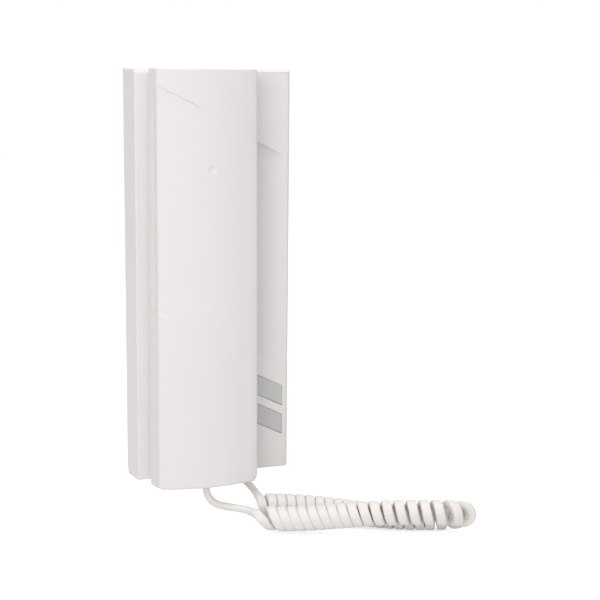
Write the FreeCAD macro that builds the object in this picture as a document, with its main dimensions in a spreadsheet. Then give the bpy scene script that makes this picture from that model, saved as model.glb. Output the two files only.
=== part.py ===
import FreeCAD, Part
import math
import os
import re
import Sketcher
from FreeCAD import Vector

# Wall door phone: a screwed wall plate, a snap-on cover with two keys, and a handset that hangs
# on the cover by two slanted pads. X is to the right, Y goes into the wall, Z is up. The origin is
# the middle of the wall face, so the phone stands out towards -Y. Lengths are in millimetres.

doc = FreeCAD.newDocument("door_phone")
sheet = doc.addObject("Spreadsheet::Sheet", "Sizes")
workings = doc.addObject("Spreadsheet::Sheet", "Workings")

# every driving size: name, value, what it is
SIZES = [
    ("tall", 216, "height of plate and cover"),
    ("wide", 85, "width of plate and cover"),
    ("base_deep", 23.2, "wall face to the cover's front"),
    ("wall", 2.2, "thickness of the moulded walls"),
    ("plate_deep", 5.5, "depth of the wall plate's rim"),
    ("plate_floor", 2, "thickness of the wall plate's floor"),
    ("seam", 0.3, "joint line between plate and cover"),
    ("fit", 0.3, "clearance of parts that slip together"),
    ("lip_high", 3, "reach of the plate's lip into the cover"),
    ("lip_thick", 1.4, "thickness of that lip"),
    ("edge_round", 3, "rounding of the cover's top and right edges"),
    ("edge_small", 1, "rounding of the cover's left and bottom edges"),
    ("back_round", 4, "rounding of the plate's bottom edge at the wall"),
    ("side_margin", 6.7, "cover that shows to the left of the handset"),
    ("right_margin", 25, "cover that shows to the right of the handset"),
    ("handset_side", 17.6, "cover's front to the handset's long front edges"),
    ("crown", 5.35, "rise of the handset's arched front over those edges"),
    ("drop", 1, "how far the handset reaches below the cover"),
    ("seat", 0.3, "gap between handset and cover"),
    ("back_deep", 8.6, "depth of the handset's back shell"),
    ("split_inset", 0.35, "step between the handset's two shells"),
    ("grip_round", 1, "rounding of the handset's long front edges"),
    ("grip_corner", 2.5, "rounding of the handset's bottom corners"),
    ("chin_round", 3, "rounding of the handset's bottom back edge"),
    ("slope", 0.488, "fall of the slanted lines per unit of width"),
    ("upper_drop", 8.6, "top to the upper slanted line, at the handset's left edge"),
    ("lower_rise", 93, "bottom to the lower slanted line, at the same edge"),
    ("waist_deep", 0.7, "depth of the handset's waist at its long edges"),
    ("waist_over", 0.03, "how far the waist's arch passes over the crown"),
    ("scoop_deep", 3.2, "depth of the finger scoop beside the handset"),
    ("scoop_rim", 4, "flat rim between scoop and right side"),
    ("scoop_under", 4, "how far the scoop runs under the handset"),
    ("dimple_wide", 5, "width of the dimple in the handset's front"),
    ("dimple_deep", 0.45, "depth of the dimple"),
    ("dimple_drop", 50.4, "top to the dimple's middle"),
    ("dimple_side", 1, "the dimple's place to the right of the handset's middle"),
    ("lift_slope", 0.78, "rise of the handset per unit that it moves out"),
    ("well_wide", 41, "width of the two wells in the cover"),
    ("well_deep", 5.6, "depth of the wells"),
    ("well_round", 4, "corner rounding of the wells and pads"),
    ("pad_deep", 5.3, "how far the handset's pads stand back"),
    ("ear_drop", 10, "top to the upper edge of the ear well"),
    ("ear_tall", 42, "height of the ear well"),
    ("mouth_rise", 16, "bottom to the lower edge of the mouth well"),
    ("mouth_tall", 28, "height of the mouth well"),
    ("key_margin", 4.2, "keys to the cover's right side"),
    ("key_wide", 18.8, "width of the keys"),
    ("key_high", 10.4, "height of the keys"),
    ("key_rise", 54.7, "bottom to the upper key's top left corner"),
    ("key_pitch", 16, "distance between the keys"),
    ("key_gap", 0.35, "gap round a key"),
    ("key_flange", 0.8, "flange that keeps a key in its window"),
    ("flange_thick", 1, "thickness of that flange"),
    ("stem_wide", 4, "width of a key's stem"),
    ("key_travel", 1, "travel of a key"),
    ("key_proud", 0.2, "how far a key stands out of the cover"),
    ("board_floor", 5, "wall face to the back of the circuit board"),
    ("board_thick", 1.6, "thickness of the circuit board"),
    ("board_left_gap", 8.5, "left side to the circuit board"),
    ("board_right_gap", 4.1, "right side to the circuit board"),
    ("board_rise", 12, "bottom to the circuit board"),
    ("board_tall", 75, "height of the circuit board"),
    ("switch_wide", 6, "width of a key switch"),
    ("switch_high", 3.5, "height of a key switch over the board"),
    ("plunger_wide", 3.4, "diameter of a switch plunger"),
    ("plunger_high", 1.5, "plunger that stands out of its switch"),
    ("post_wide", 6, "diameter of the board's posts"),
    ("post_bore", 2.2, "diameter of the screw holes in the posts"),
    ("screw_shank", 2, "diameter of the small screws"),
    ("screw_head", 4.6, "head diameter of the small screws"),
    ("head_high", 1.6, "head height of the small screws"),
    ("hole_wide", 4.5, "diameter of the wall screw holes"),
    ("hole_spacing", 60, "distance between the wall screw holes"),
    ("hole_middle", 15, "height of the middle of the wall screw holes"),
    ("entry_wide", 24, "width of the wall cable entry"),
    ("entry_high", 18, "height of the wall cable entry"),
    ("entry_low", 4, "lower edge of the wall cable entry"),
    ("pin_wide", 2, "diameter of the hook lever's pin"),
    ("pin_fit", 0.05, "radial clearance of that pin"),
    ("hub_gap", 0.4, "gap between the lever's hub and the back of the well"),
    ("pin_rise", 22, "mouth well's lower edge to the pin's axis"),
    ("lever_wide", 5, "width of the hook lever"),
    ("lever_thick", 2.4, "thickness of its arm"),
    ("lever_long", 17, "length of its arm below the pin"),
    ("nose_high", 5, "height of the lever's nose"),
    ("hub_wide", 4.6, "diameter of the lever's hub"),
    ("slot_wide", 6.6, "width of the lever's slot"),
    ("ear_wide", 2, "thickness of the pin's two ears"),
    ("terminal_wide", 27.5, "width of the terminal block"),
    ("terminal_high", 8, "height of the terminal block along the board"),
    ("terminal_deep", 10, "how far it stands out of the board"),
    ("terminal_pitch", 5, "distance between its screws"),
    ("terminal_screw", 3, "diameter of its screws"),
    ("ringer_wide", 34, "diameter of the ringer"),
    ("ringer_deep", 5.5, "depth of the ringer"),
    ("ringer_high", 12, "height of the ringer's middle"),
    ("slot_pitch", 4, "distance between the ringer's sound slots"),
    ("capsule_wide", 30, "diameter of the earpiece"),
    ("capsule_deep", 8, "depth of the earpiece"),
    ("gasket_thick", 1, "thickness of the earpiece's foam ring"),
    ("grille_hole", 1.8, "diameter of the ear holes"),
    ("mic_wide", 9.7, "diameter of the microphone"),
    ("mic_deep", 5, "depth of the microphone"),
    ("boot_wall", 1.6, "wall of the microphone's rubber boot"),
    ("grip_post", 6.4, "diameter of the screw posts in the handset"),
    ("bush_wide", 7, "diameter of the cord bushes"),
    ("bush_flange", 9.4, "flange diameter of the cord bushes"),
    ("bush_out", 0.8, "how far a cord bush stands out"),
    ("handset_exit", 13.4, "cover's front to the cord's exit from the handset"),
    ("base_exit_side", 25.5, "right side to the cord's exit from the base"),
    ("base_exit_deep", 13.5, "the same, from the wall face"),
    ("cord_wide", 4.4, "diameter of the cord"),
    ("curl_core", 2.6, "radius of the open core inside the curls"),
    ("curl_gap", 0.8, "gap between curls that lie closed"),
]
for row, (alias, size, note) in enumerate(SIZES, start=1):
    sheet.set(f"A{row}", note)
    sheet.set(f"B{row}", str(size))
    sheet.setAlias(f"B{row}", alias)
doc.recompute()
ALIASES = {alias for alias, size, note in SIZES}
s = {alias: float(sheet.get(alias)) for alias in ALIASES}

# places that several pieces share, as text for the pieces' expressions
UPPER_LINE = "(tall / 2 - upper_drop)"
LOWER_LINE = "(lower_rise - tall / 2)"
EAR_HIGH = "(tall / 2 - ear_drop)"
EAR_LOW = f"({EAR_HIGH} - ear_tall)"
MOUTH_LOW = "(mouth_rise - tall / 2)"
MOUTH_HIGH = f"({MOUTH_LOW} + mouth_tall)"
KEY_LEFT = "(wide / 2 - key_margin - key_wide)"
KEY_TOP = "(key_rise - tall / 2)"
BOARD_LEFT, BOARD_RIGHT = "(board_left_gap - wide / 2)", "(wide / 2 - board_right_gap)"
BOARD_LOW = "(board_rise - tall / 2)"
BOARD_HIGH = f"({BOARD_LOW} + board_tall)"
PIN_DEEP = "(base_deep - well_deep - wall - hub_wide / 2 - hub_gap)"
PIN_HIGH = f"({MOUTH_LOW} + pin_rise)"
BASE_EXIT = "(wide / 2 - base_exit_side)"
HANDSET_LEFT = "(side_margin - wide / 2)"
HANDSET_WIDE = "(wide - side_margin - right_margin)"
HANDSET_MID = "((side_margin - right_margin) / 2)"
HANDSET_RIGHT = "(wide / 2 - right_margin)"
INNER_SIDE = "(wide / 2 - wall)"
INNER_TOP = "(tall / 2 - wall)"
HANDSET_BACK = "(base_deep + seat)"
SHELL_SPLIT = "(base_deep + seat + back_deep)"
BOARD_FRONT = "(board_floor + board_thick)"
WELL_FLOOR = "(base_deep - well_deep)"
PAD_END = "(base_deep + seat - pad_deep)"
HANDSET_LOW = "(-tall / 2 - drop)"
EAR_MID = f"(({EAR_LOW} + {EAR_HIGH} - lift_slope * well_deep) / 2)"
MOUTH_MID = f"(({MOUTH_LOW} + {MOUTH_HIGH} - lift_slope * well_deep) / 2)"
handset_mid = (s["side_margin"] - s["right_margin"]) / 2
NORMAL = {"XY_Plane": Vector(0, 0, 1), "XZ_Plane": Vector(0, -1, 0), "YZ_Plane": Vector(1, 0, 0)}


def sized(text):
    """Text with each size's name written as the sheet's cell."""
    def cell(found):
        name = found.group()
        return f"Sizes.{name}" if name in ALIASES else name

    return re.sub(r"[a-z_]+", cell, text)


def number(text):
    """The value of an expression in the sheet's sizes."""
    workings.set("A1", f"={sized(text)}")
    workings.recompute()
    return float(workings.get("A1"))


def bind(thing, **places):
    for place, text in places.items():
        thing.setExpression(place.replace("__", "."), sized(text))


def new_body(label):
    body = doc.addObject("PartDesign::Body", label)
    body.Label = label
    return body


def new_sketch(body, plane, start):
    """A sketch on one of the body's own planes, moved along the plane's normal."""
    drawing = body.newObject("Sketcher::SketchObject", "Drawing")
    origin_plane = [part for part in body.Origin.OriginFeatures if part.Role == plane][0]
    drawing.AttachmentSupport = (origin_plane, [""])
    drawing.MapMode = "FlatFace"
    drawing.setExpression("AttachmentOffset.Base.z", sized(start))
    return drawing


def fix_point(drawing, shape, end, across, along, place):
    """Ties one point of a sketch to two expressions."""
    for kind, text, rough in (("DistanceX", across, place.x), ("DistanceY", along, place.y)):
        tie = drawing.addConstraint(Sketcher.Constraint(kind, -1, 1, shape, end, rough))
        drawing.setExpression(f"Constraints[{tie}]", sized(text))


def draw_polygon(drawing, corners):
    count = len(corners)
    turn = 2 * math.pi / count
    rough = [Vector(20 * math.cos(i * turn), 20 * math.sin(i * turn), 0) for i in range(count)]
    first = drawing.GeometryCount
    for i in range(count):
        drawing.addGeometry(Part.LineSegment(rough[i], rough[(i + 1) % count]), False)
    for i in range(count):
        drawing.addConstraint(Sketcher.Constraint("Coincident", first + i, 2, first + (i + 1) % count, 1))
    for i, (across, along) in enumerate(corners):
        fix_point(drawing, first + i, 1, across, along, rough[i])


def draw_circle(drawing, across, along, diameter):
    ring = drawing.addGeometry(Part.Circle(Vector(1, 1, 0), Vector(0, 0, 1), 3), False)
    fix_point(drawing, ring, 3, across, along, Vector(1, 1, 0))
    tie = drawing.addConstraint(Sketcher.Constraint("Diameter", ring, 6))
    drawing.setExpression(f"Constraints[{tie}]", sized(diameter))


def block(left, low, right, high):
    return [(left, low), (right, low), (right, high), (left, high)]


def finish_feature(body, feature, drawing, length):
    feature.Profile = drawing
    feature.setExpression("Length", sized(length))
    doc.recompute()
    return feature


def pad(body, plane, start, length, *outlines):
    """Adds material from start along the plane's normal."""
    feature = body.newObject("PartDesign::Pad", "Pad")
    drawing = new_sketch(body, plane, start)
    for outline in outlines:
        draw_polygon(drawing, outline) if isinstance(outline, list) else draw_circle(drawing, *outline)
    body.Tip = feature
    return finish_feature(body, feature, drawing, length)


def cut(body, plane, start, length, *outlines):
    """Takes material away from start along the plane's normal, and checks that it took some."""
    before = body.Tip.Shape.Volume
    feature = body.newObject("PartDesign::Pocket", "Pocket")
    drawing = new_sketch(body, plane, start)
    for outline in outlines:
        draw_polygon(drawing, outline) if isinstance(outline, list) else draw_circle(drawing, *outline)
    feature.Reversed = True
    body.Tip = feature
    finish_feature(body, feature, drawing, length)
    if not feature.Shape.Volume < before - 1e-6:
        raise RuntimeError(f"a pocket of {body.Label} cuts nothing")
    return feature


def edges_at(feature, longest=None, **place):
    """Names of the edges that lie wholly at the given coordinates and run along the given axis."""
    names = []
    for place_in_list, edge in enumerate(feature.Shape.Edges, start=1):
        box = edge.BoundBox
        span = {"x": (box.XMin, box.XMax), "y": (box.YMin, box.YMax), "z": (box.ZMin, box.ZMax)}
        if longest and span[longest][1] - span[longest][0] < 1:
            continue
        if all(abs(end - at) < 0.02 for axis, at in place.items() for end in span[axis]):
            names.append(f"Edge{place_in_list}")
    return names


def round_named(body, radius, names):
    base = body.Tip
    if not names:
        raise RuntimeError(f"no edge of {body.Label} to round")
    feature = body.newObject("PartDesign::Fillet", "Fillet")
    feature.Base = (base, names)
    feature.setExpression("Radius", sized(radius))
    body.Tip = feature
    doc.recompute()
    return feature


def round_edges(body, radius, *places):
    return round_named(body, radius, [name for place in places for name in edges_at(body.Tip, **place)])


def round_corners(body, radius, mid, width, low, high):
    """Rounds the four edges of a well or pad that run from its mouth to its floor."""
    names = []
    for side in (mid - width / 2, mid + width / 2):
        for name in edges_at(body.Tip, "y", x=side):
            middle = body.Tip.Shape.Edges[int(name[4:]) - 1].CenterOfMass.z
            if low - 8 < middle < high + 8:
                names.append(name)
    return round_named(body, radius, names)


def line_height(line, across):
    """Height of a slanted line of the front at a given place across."""
    return f"({line} - slope * ({across} - {HANDSET_LEFT}))"


def draw_arch(drawing, half, back, edge, centre):
    """Three straight sides and an arched front, seen from below: x to the right, y into the wall."""
    mid = handset_mid
    rough = [Vector(mid + x, y, 0) for x, y in ((-26, -30), (-26, -40), (26, -40), (26, -30))]
    arch = Part.Arc(rough[1], Vector(mid, -45.5, 0), rough[2])
    drawing.addGeometry(Part.LineSegment(rough[0], rough[1]), False)
    drawing.addGeometry(arch, False)
    drawing.addGeometry(Part.LineSegment(rough[2], rough[3]), False)
    drawing.addGeometry(Part.LineSegment(rough[3], rough[0]), False)
    for first, second in ((0, 1), (1, 2), (2, 3), (3, 0)):
        drawing.addConstraint(Sketcher.Constraint("Coincident", first, 2, second, 1))
    left, right = f"{HANDSET_MID} - ({half})", f"{HANDSET_MID} + ({half})"
    fix_point(drawing, 0, 1, left, back, rough[0])
    fix_point(drawing, 0, 2, left, edge, rough[1])
    fix_point(drawing, 2, 1, right, edge, rough[2])
    fix_point(drawing, 3, 1, right, back, rough[3])
    height = drawing.Geometry[1].Center.y
    tie = drawing.addConstraint(Sketcher.Constraint("DistanceY", -1, 1, 1, 3, height))
    drawing.setExpression(f"Constraints[{tie}]", sized(centre))


def free_sketch(label, plane):
    """A sketch outside any body, on the XY or XZ plane."""
    drawing = doc.addObject("Sketcher::SketchObject", label)
    drawing.Placement.Rotation = FreeCAD.Rotation(Vector(1, 0, 0), 90 if plane == "XZ" else 0)
    return drawing


def prism(label, drawing, low, high):
    """A sketch drawn out along its own normal from low to high."""
    solid = doc.addObject("Part::Extrusion", label)
    solid.Base = drawing
    solid.DirMode = "Normal"
    solid.Solid = True
    bind(solid, LengthFwd=high, LengthRev=f"-({low})")
    return solid


def cut_band(body, label, section, left, right):
    """Cuts a section, drawn across the front, out of a body between the two slanted lines."""
    along = prism(f"{label}_run", section, "-tall", "tall")
    outline = free_sketch(f"{label}_outline", "XZ")
    corners = [
        (left, line_height(LOWER_LINE, left)), (right, line_height(LOWER_LINE, right)),
        (right, line_height(UPPER_LINE, right)), (left, line_height(UPPER_LINE, left)),
    ]
    draw_polygon(outline, corners)
    band = prism(f"{label}_band", outline, "0", "4 * base_deep")
    common = doc.addObject("Part::Common", f"{label}_cutter")
    common.Base, common.Tool = along, band
    result = doc.addObject("Part::Cut", label)
    result.Base, result.Tool = body, common
    result.Label = label
    doc.recompute()
    if not result.Shape.Volume < body.Shape.Volume - 100:
        raise RuntimeError(f"the band cuts nothing from {label}")
    return result


def slanted(low, high, start, end):
    """Outline of a well or pad in the YZ plane, from one depth to another, leaning with the lift."""
    lean = "lift_slope * (({0}) - base_deep)"
    return [
        (f"-({start})", f"{low} + {lean.format(start)}"),
        (f"-({end})", f"{low} + {lean.format(end)}"),
        (f"-({end})", f"{high} + {lean.format(end)}"),
        (f"-({start})", f"{high} + {lean.format(start)}"),
    ]


def pad_across(body, mid, width, outline):
    """A YZ outline drawn out along X, centred on a place."""
    return pad(body, "YZ_Plane", f"{mid} - ({width}) / 2", width, outline)


def cut_across(body, mid, width, outline):
    return cut(body, "YZ_Plane", f"{mid} - ({width}) / 2", width, outline)


def cylinder(label, diameter, length, x, y, z, axis):
    """A round bar from a point along -y, +x or +z."""
    bar = doc.addObject("Part::Cylinder", label)
    bar.Label = label
    turn = {"-y": FreeCAD.Rotation(Vector(1, 0, 0), 90), "+x": FreeCAD.Rotation(Vector(0, 1, 0), 90)}
    bar.Placement.Rotation = turn.get(axis, FreeCAD.Rotation())
    bind(bar, Radius=f"({diameter}) / 2", Height=length)
    bind(bar, Placement__Base__x=x, Placement__Base__y=y, Placement__Base__z=z)
    return bar


def fuse(label, *parts):
    whole = doc.addObject("Part::MultiFuse", label)
    whole.Shapes = list(parts)
    whole.Label = label
    return whole


def screw(label, x, seat, z, length):
    """A pan-head screw, its head standing on a seat that faces the front."""
    head = cylinder(f"{label}_head", "screw_head", "head_high", x, f"-({seat})", z, "-y")
    shank_long, tip = f"{length} + head_high / 2", f"-({seat} - ({length}))"
    shank = cylinder(f"{label}_shank", "screw_shank", shank_long, x, tip, z, "-y")
    return [head, shank]


nodes = []


def keep(thing):
    nodes.append(thing)
    return thing


# wall plate: a tray whose lip stands inside the cover
LIP_OUT = "(wall + fit)"
LIP_IN = "(wall + fit + lip_thick)"


def inset(by):
    return block(f"-wide / 2 + {by}", f"-tall / 2 + {by}", f"wide / 2 - {by}", f"tall / 2 - {by}")


POSTS = [
    (f"{BOARD_LEFT} + post_wide / 2 + 1", f"{BOARD_LOW} + post_wide / 2 + 1"),
    (f"{BOARD_RIGHT} - post_wide / 2 - 1", f"{BOARD_LOW} + post_wide / 2 + 1"),
    (f"{BOARD_LEFT} + post_wide / 2 + 1", f"{BOARD_HIGH} - post_wide / 2 - 1"),
    (f"{BOARD_RIGHT} - post_wide / 2 - 1", f"{BOARD_HIGH} - post_wide / 2 - 1"),
]
LUG_MID = "(-wide / 4)"
LUG_LOW = "(-tall / 2 + wall + fit)"
LUG_HIGH = "(-tall / 2 + wall + fit + post_wide + 1)"
SCREW_DEEP = "(base_deep / 2)"

plate = new_body("wall_plate")
pad(plate, "XZ_Plane", "0", "plate_deep", inset("0"))
pad(plate, "XZ_Plane", "plate_deep", "lip_high", inset(LIP_OUT), inset(LIP_IN))
cut(plate, "XZ_Plane", "plate_floor", "plate_deep - plate_floor", inset(LIP_IN))
round_edges(plate, "back_round", {"y": 0, "z": -s["tall"] / 2})
for across, along in POSTS:
    pad(plate, "XZ_Plane", "plate_floor / 2", "board_floor - plate_floor / 2", (across, along, "post_wide"))
lug = block(f"{LUG_MID} - post_wide / 2 - 1", LUG_LOW, f"{LUG_MID} + post_wide / 2 + 1", LUG_HIGH)
pad(plate, "XZ_Plane", "plate_floor / 2", f"{SCREW_DEEP} + post_wide / 2 - plate_floor / 2", lug)
cut(plate, "XY_Plane", LUG_LOW, "post_wide", (LUG_MID, f"-{SCREW_DEEP}", "post_bore"))
for across, along in POSTS:
    cut(plate, "XZ_Plane", "plate_floor", "board_floor", (across, along, "post_bore"))
for side in ("hole_middle - hole_spacing / 2", "hole_middle + hole_spacing / 2"):
    cut(plate, "XZ_Plane", "0", "plate_floor", (HANDSET_MID, side, "hole_wide"))
entry = block("-entry_wide / 2", "entry_low", "entry_wide / 2", "entry_low + entry_high")
cut(plate, "XZ_Plane", "0", "plate_floor", entry)
keep(plate)

# cover: hollow shell with two slanted wells, a finger scoop, two key windows and a lever slot
FRONT_IN = "(base_deep - wall)"
SLOT_LOW = f"({PIN_HIGH} - lever_long - 0.7)"
SLOT_HIGH = f"({PIN_HIGH} - lever_long + nose_high + 1.5)"
shell = new_body("cover_shell")
pad(shell, "XZ_Plane", "plate_deep + seam", "base_deep - plate_deep - seam", inset("0"))
front = -s["base_deep"]
round_edges(shell, "edge_round", {"y": front, "x": s["wide"] / 2}, {"y": front, "z": s["tall"] / 2})
round_edges(shell, "edge_small", {"y": front, "x": -s["wide"] / 2}, {"y": front, "z": -s["tall"] / 2})
cut(shell, "XZ_Plane", "plate_deep + seam", f"{FRONT_IN} - plate_deep - seam", inset("wall"))
SCOOP_LEFT = f"{HANDSET_RIGHT} - scoop_under"
behind = [
    (f"{SCOOP_LEFT} - wall", line_height(LOWER_LINE, f"({SCOOP_LEFT} - wall)") + " - wall"),
    ("wide / 2 - wall / 2", line_height(LOWER_LINE, "(wide / 2 - wall / 2)") + " - wall"),
    ("wide / 2 - wall / 2", line_height(UPPER_LINE, "(wide / 2 - wall / 2)") + " + wall"),
    (f"{SCOOP_LEFT} - wall", line_height(UPPER_LINE, f"({SCOOP_LEFT} - wall)") + " + wall"),
]
pad(shell, "XZ_Plane", f"{FRONT_IN} - scoop_deep", "scoop_deep + wall / 2", behind)
for low, high in ((EAR_LOW, EAR_HIGH), (MOUTH_LOW, MOUTH_HIGH)):
    tub = slanted(f"{low} - wall", f"{high} + wall", f"{WELL_FLOOR} - wall", "base_deep - wall / 2")
    pad_across(shell, HANDSET_MID, "well_wide + 2 * wall", tub)
    cut_across(shell, HANDSET_MID, "well_wide", slanted(low, high, WELL_FLOOR, "base_deep + 1"))
    round_corners(shell, "well_round", handset_mid, s["well_wide"], number(low), number(high))
ear_in = f"{HANDSET_MID} - slot_wide / 2 - ear_wide"
for start in (ear_in, f"{HANDSET_MID} + slot_wide / 2"):
    rib = block(
        f"-({WELL_FLOOR} - wall / 2)", f"{PIN_HIGH} - hub_wide / 2 - 0.8",
        f"-({PIN_DEEP} - pin_wide / 2 - 1.5)", f"{PIN_HIGH} + hub_wide / 2 + 0.8",
    )
    pad(shell, "YZ_Plane", start, "ear_wide", rib)
pin_bore = (f"-{PIN_DEEP}", PIN_HIGH, "pin_wide + 2 * pin_fit")
cut(shell, "YZ_Plane", ear_in, "slot_wide + 2 * ear_wide", pin_bore)
slot = block(f"{HANDSET_MID} - slot_wide / 2", SLOT_LOW, f"{HANDSET_MID} + slot_wide / 2", SLOT_HIGH)
cut(shell, "XZ_Plane", f"{WELL_FLOOR} - wall", "wall", slot)
key_right = f"({KEY_LEFT} + key_wide)"


def key_outline(top, grow):
    """A key's outline with slanted top and bottom, grown all round."""
    left, right = f"({KEY_LEFT} - ({grow}))", f"({key_right} + ({grow}))"
    lean = f"slope * ({{0}} - {KEY_LEFT})"
    return [
        (left, f"{top} - key_high - ({grow}) - {lean.format(left)}"),
        (right, f"{top} - key_high - ({grow}) - {lean.format(right)}"),
        (right, f"{top} + ({grow}) - {lean.format(right)}"),
        (left, f"{top} + ({grow}) - {lean.format(left)}"),
    ]


KEY_TOPS = {"door": KEY_TOP, "light": f"({KEY_TOP} - key_pitch)"}
for top in KEY_TOPS.values():
    cut(shell, "XZ_Plane", f"{FRONT_IN}", "wall", key_outline(top, "key_gap"))
holder = "ringer_wide + 2 * fit"
ring = [(HANDSET_MID, "ringer_high", holder), (HANDSET_MID, "ringer_high", f"{holder} + 2.8")]
pad(shell, "XZ_Plane", f"{FRONT_IN} - ringer_deep", "ringer_deep + wall / 2", *ring)
sound = []
for step in range(-2, 3):
    middle = f"ringer_high + {step} * slot_pitch"
    sound.append(block(f"{HANDSET_MID} - 8", f"{middle} - 0.8", f"{HANDSET_MID} + 8", f"{middle} + 0.8"))
cut(shell, "XZ_Plane", FRONT_IN, "wall", *sound)
cut(shell, "XY_Plane", "-tall / 2", "wall", (BASE_EXIT, "-base_exit_deep", "bush_wide + pin_fit"))
cut(shell, "XY_Plane", "-tall / 2", "wall", (LUG_MID, f"-{SCREW_DEEP}", "screw_head + 2 * fit"))
# the scoop: an arc that is deepest beside the handset and runs out before the right side
scoop = free_sketch("scoop_section", "XY")
SCOOP_MID = f"({SCOOP_LEFT} + scoop_under / 2)"
SCOOP_RUN = f"(wide / 2 - scoop_rim - {SCOOP_MID})"
SCOOP_RADIUS = f"(({SCOOP_RUN} ^ 2 + scoop_deep ^ 2) / (2 * scoop_deep))"
SCOOP_CENTRE = f"(-(base_deep - scoop_deep) - {SCOOP_RADIUS})"
left_x, right_x = 13.5, 41.0
mid_x = left_x + 2
rough_centre = Vector(mid_x, -20 - 80, 0)
rough = [
    Vector(left_x, -30, 0), Vector(left_x, rough_centre.y + math.sqrt(80 ** 2 - 2 ** 2), 0),
    Vector(right_x, rough_centre.y + math.sqrt(80 ** 2 - (right_x - mid_x) ** 2), 0), Vector(right_x, -30, 0),
]
scoop.addGeometry(Part.LineSegment(rough[0], rough[1]), False)
halfway = rough_centre + Vector(math.sin(0.2), math.cos(0.2), 0) * 80
scoop.addGeometry(Part.Arc(rough[2], halfway, rough[1]), False)
scoop.addGeometry(Part.LineSegment(rough[2], rough[3]), False)
scoop.addGeometry(Part.LineSegment(rough[3], rough[0]), False)
scoop.addConstraint(Sketcher.Constraint("Coincident", 0, 2, 1, 2))
scoop.addConstraint(Sketcher.Constraint("Coincident", 1, 1, 2, 1))
scoop.addConstraint(Sketcher.Constraint("Coincident", 2, 2, 3, 1))
scoop.addConstraint(Sketcher.Constraint("Coincident", 3, 2, 0, 1))
fix_point(scoop, 0, 1, SCOOP_LEFT, "-base_deep - 5", rough[0])
tie = scoop.addConstraint(Sketcher.Constraint("DistanceX", -1, 1, 0, 2, left_x))
scoop.setExpression(f"Constraints[{tie}]", sized(SCOOP_LEFT))
fix_point(scoop, 2, 2, "wide / 2 - 1.5", "-base_deep - 5", rough[3])
tie = scoop.addConstraint(Sketcher.Constraint("DistanceX", -1, 1, 2, 1, right_x))
scoop.setExpression(f"Constraints[{tie}]", sized("wide / 2 - 1.5"))
fix_point(scoop, 1, 3, SCOOP_MID, SCOOP_CENTRE, rough_centre)
tie = scoop.addConstraint(Sketcher.Constraint("Radius", 1, 80))
scoop.setExpression(f"Constraints[{tie}]", sized(SCOOP_RADIUS))
keep(cut_band(shell, "base_cover", scoop, f"({HANDSET_LEFT})", "(wide / 2 + 5)"))

# handset: back shell with the two pads, front shell with the arched crown and a waist
PAD_CLEAR = "(fit + 0.2)"
grip_block = block(HANDSET_LEFT, HANDSET_LOW, HANDSET_RIGHT, "tall / 2")
grip_inside = block(
    f"{HANDSET_LEFT} + wall", f"{HANDSET_LOW} + wall", f"{HANDSET_RIGHT} - wall", "tall / 2 - wall"
)
left, right = number(HANDSET_LEFT), number(HANDSET_RIGHT)
low_end = -s["tall"] / 2 - s["drop"]
back_y, split_y = -s["base_deep"] - s["seat"], -s["base_deep"] - s["seat"] - s["back_deep"]
SCREW_SPOTS = ["(hole_middle + 25)", "(hole_middle - 70)"]

grip_back = new_body("handset_back")
pad(grip_back, "XZ_Plane", HANDSET_BACK, "back_deep", grip_block)
round_edges(grip_back, "grip_corner", {"x": left, "z": low_end}, {"x": right, "z": low_end})
round_edges(grip_back, "chin_round", {"y": back_y, "z": low_end})
rounded = grip_back.Tip
rim = edges_at(rounded, "z", x=left, y=split_y) + edges_at(rounded, "z", x=right, y=split_y)
parting = grip_back.newObject("PartDesign::Chamfer", "Parting")
parting.Base = (rounded, rim)
parting.setExpression("Size", "Sizes.split_inset")
grip_back.Tip = parting
doc.recompute()
for low, high in ((EAR_LOW, EAR_HIGH), (MOUTH_LOW, MOUTH_HIGH)):
    outline = slanted(f"{low} + fit", f"{high} - fit", PAD_END, f"{HANDSET_BACK} + wall / 2")
    pad_across(grip_back, HANDSET_MID, f"well_wide - 2 * {PAD_CLEAR}", outline)
    pad_wide = number(f"well_wide - 2 * {PAD_CLEAR}")
    round_corners(grip_back, f"well_round - {PAD_CLEAR}", handset_mid, pad_wide, number(low), number(high))
cut(grip_back, "XZ_Plane", f"{HANDSET_BACK} + wall", "back_deep", grip_inside)
ear_room = (HANDSET_MID, EAR_MID, "capsule_wide + 2 * fit")
mouth_room = (HANDSET_MID, MOUTH_MID, "mic_wide + 2 * boot_wall + 2 * pin_fit")
for room in (ear_room, mouth_room):
    cut(grip_back, "XZ_Plane", f"{PAD_END} + wall", "pad_deep", room)
grille = [(HANDSET_MID, EAR_MID, "grille_hole")]
for count, reach in ((6, 0.17), (12, 0.33)):
    for i in range(count):
        x = f"{HANDSET_MID} + {reach * math.cos(2 * math.pi * i / count):.5f} * capsule_wide"
        z = f"{EAR_MID} + {reach * math.sin(2 * math.pi * i / count):.5f} * capsule_wide"
        grille.append((x, z, "grille_hole"))
cut(grip_back, "XZ_Plane", PAD_END, "wall", *grille)
cut(grip_back, "XZ_Plane", PAD_END, "wall", (HANDSET_MID, MOUTH_MID, "grille_hole"))
for spot in SCREW_SPOTS:
    post = (HANDSET_MID, spot, "grip_post + 1")
    pad(grip_back, "XZ_Plane", f"{HANDSET_BACK} + wall / 2", "back_deep - wall / 2", post)
    sunk = (HANDSET_MID, spot, "screw_head + 2 * fit")
    cut(grip_back, "XZ_Plane", HANDSET_BACK, "head_high + 1.4", sunk)
    cut(grip_back, "XZ_Plane", HANDSET_BACK, "back_deep", (HANDSET_MID, spot, "post_bore"))
keep(grip_back)

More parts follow.
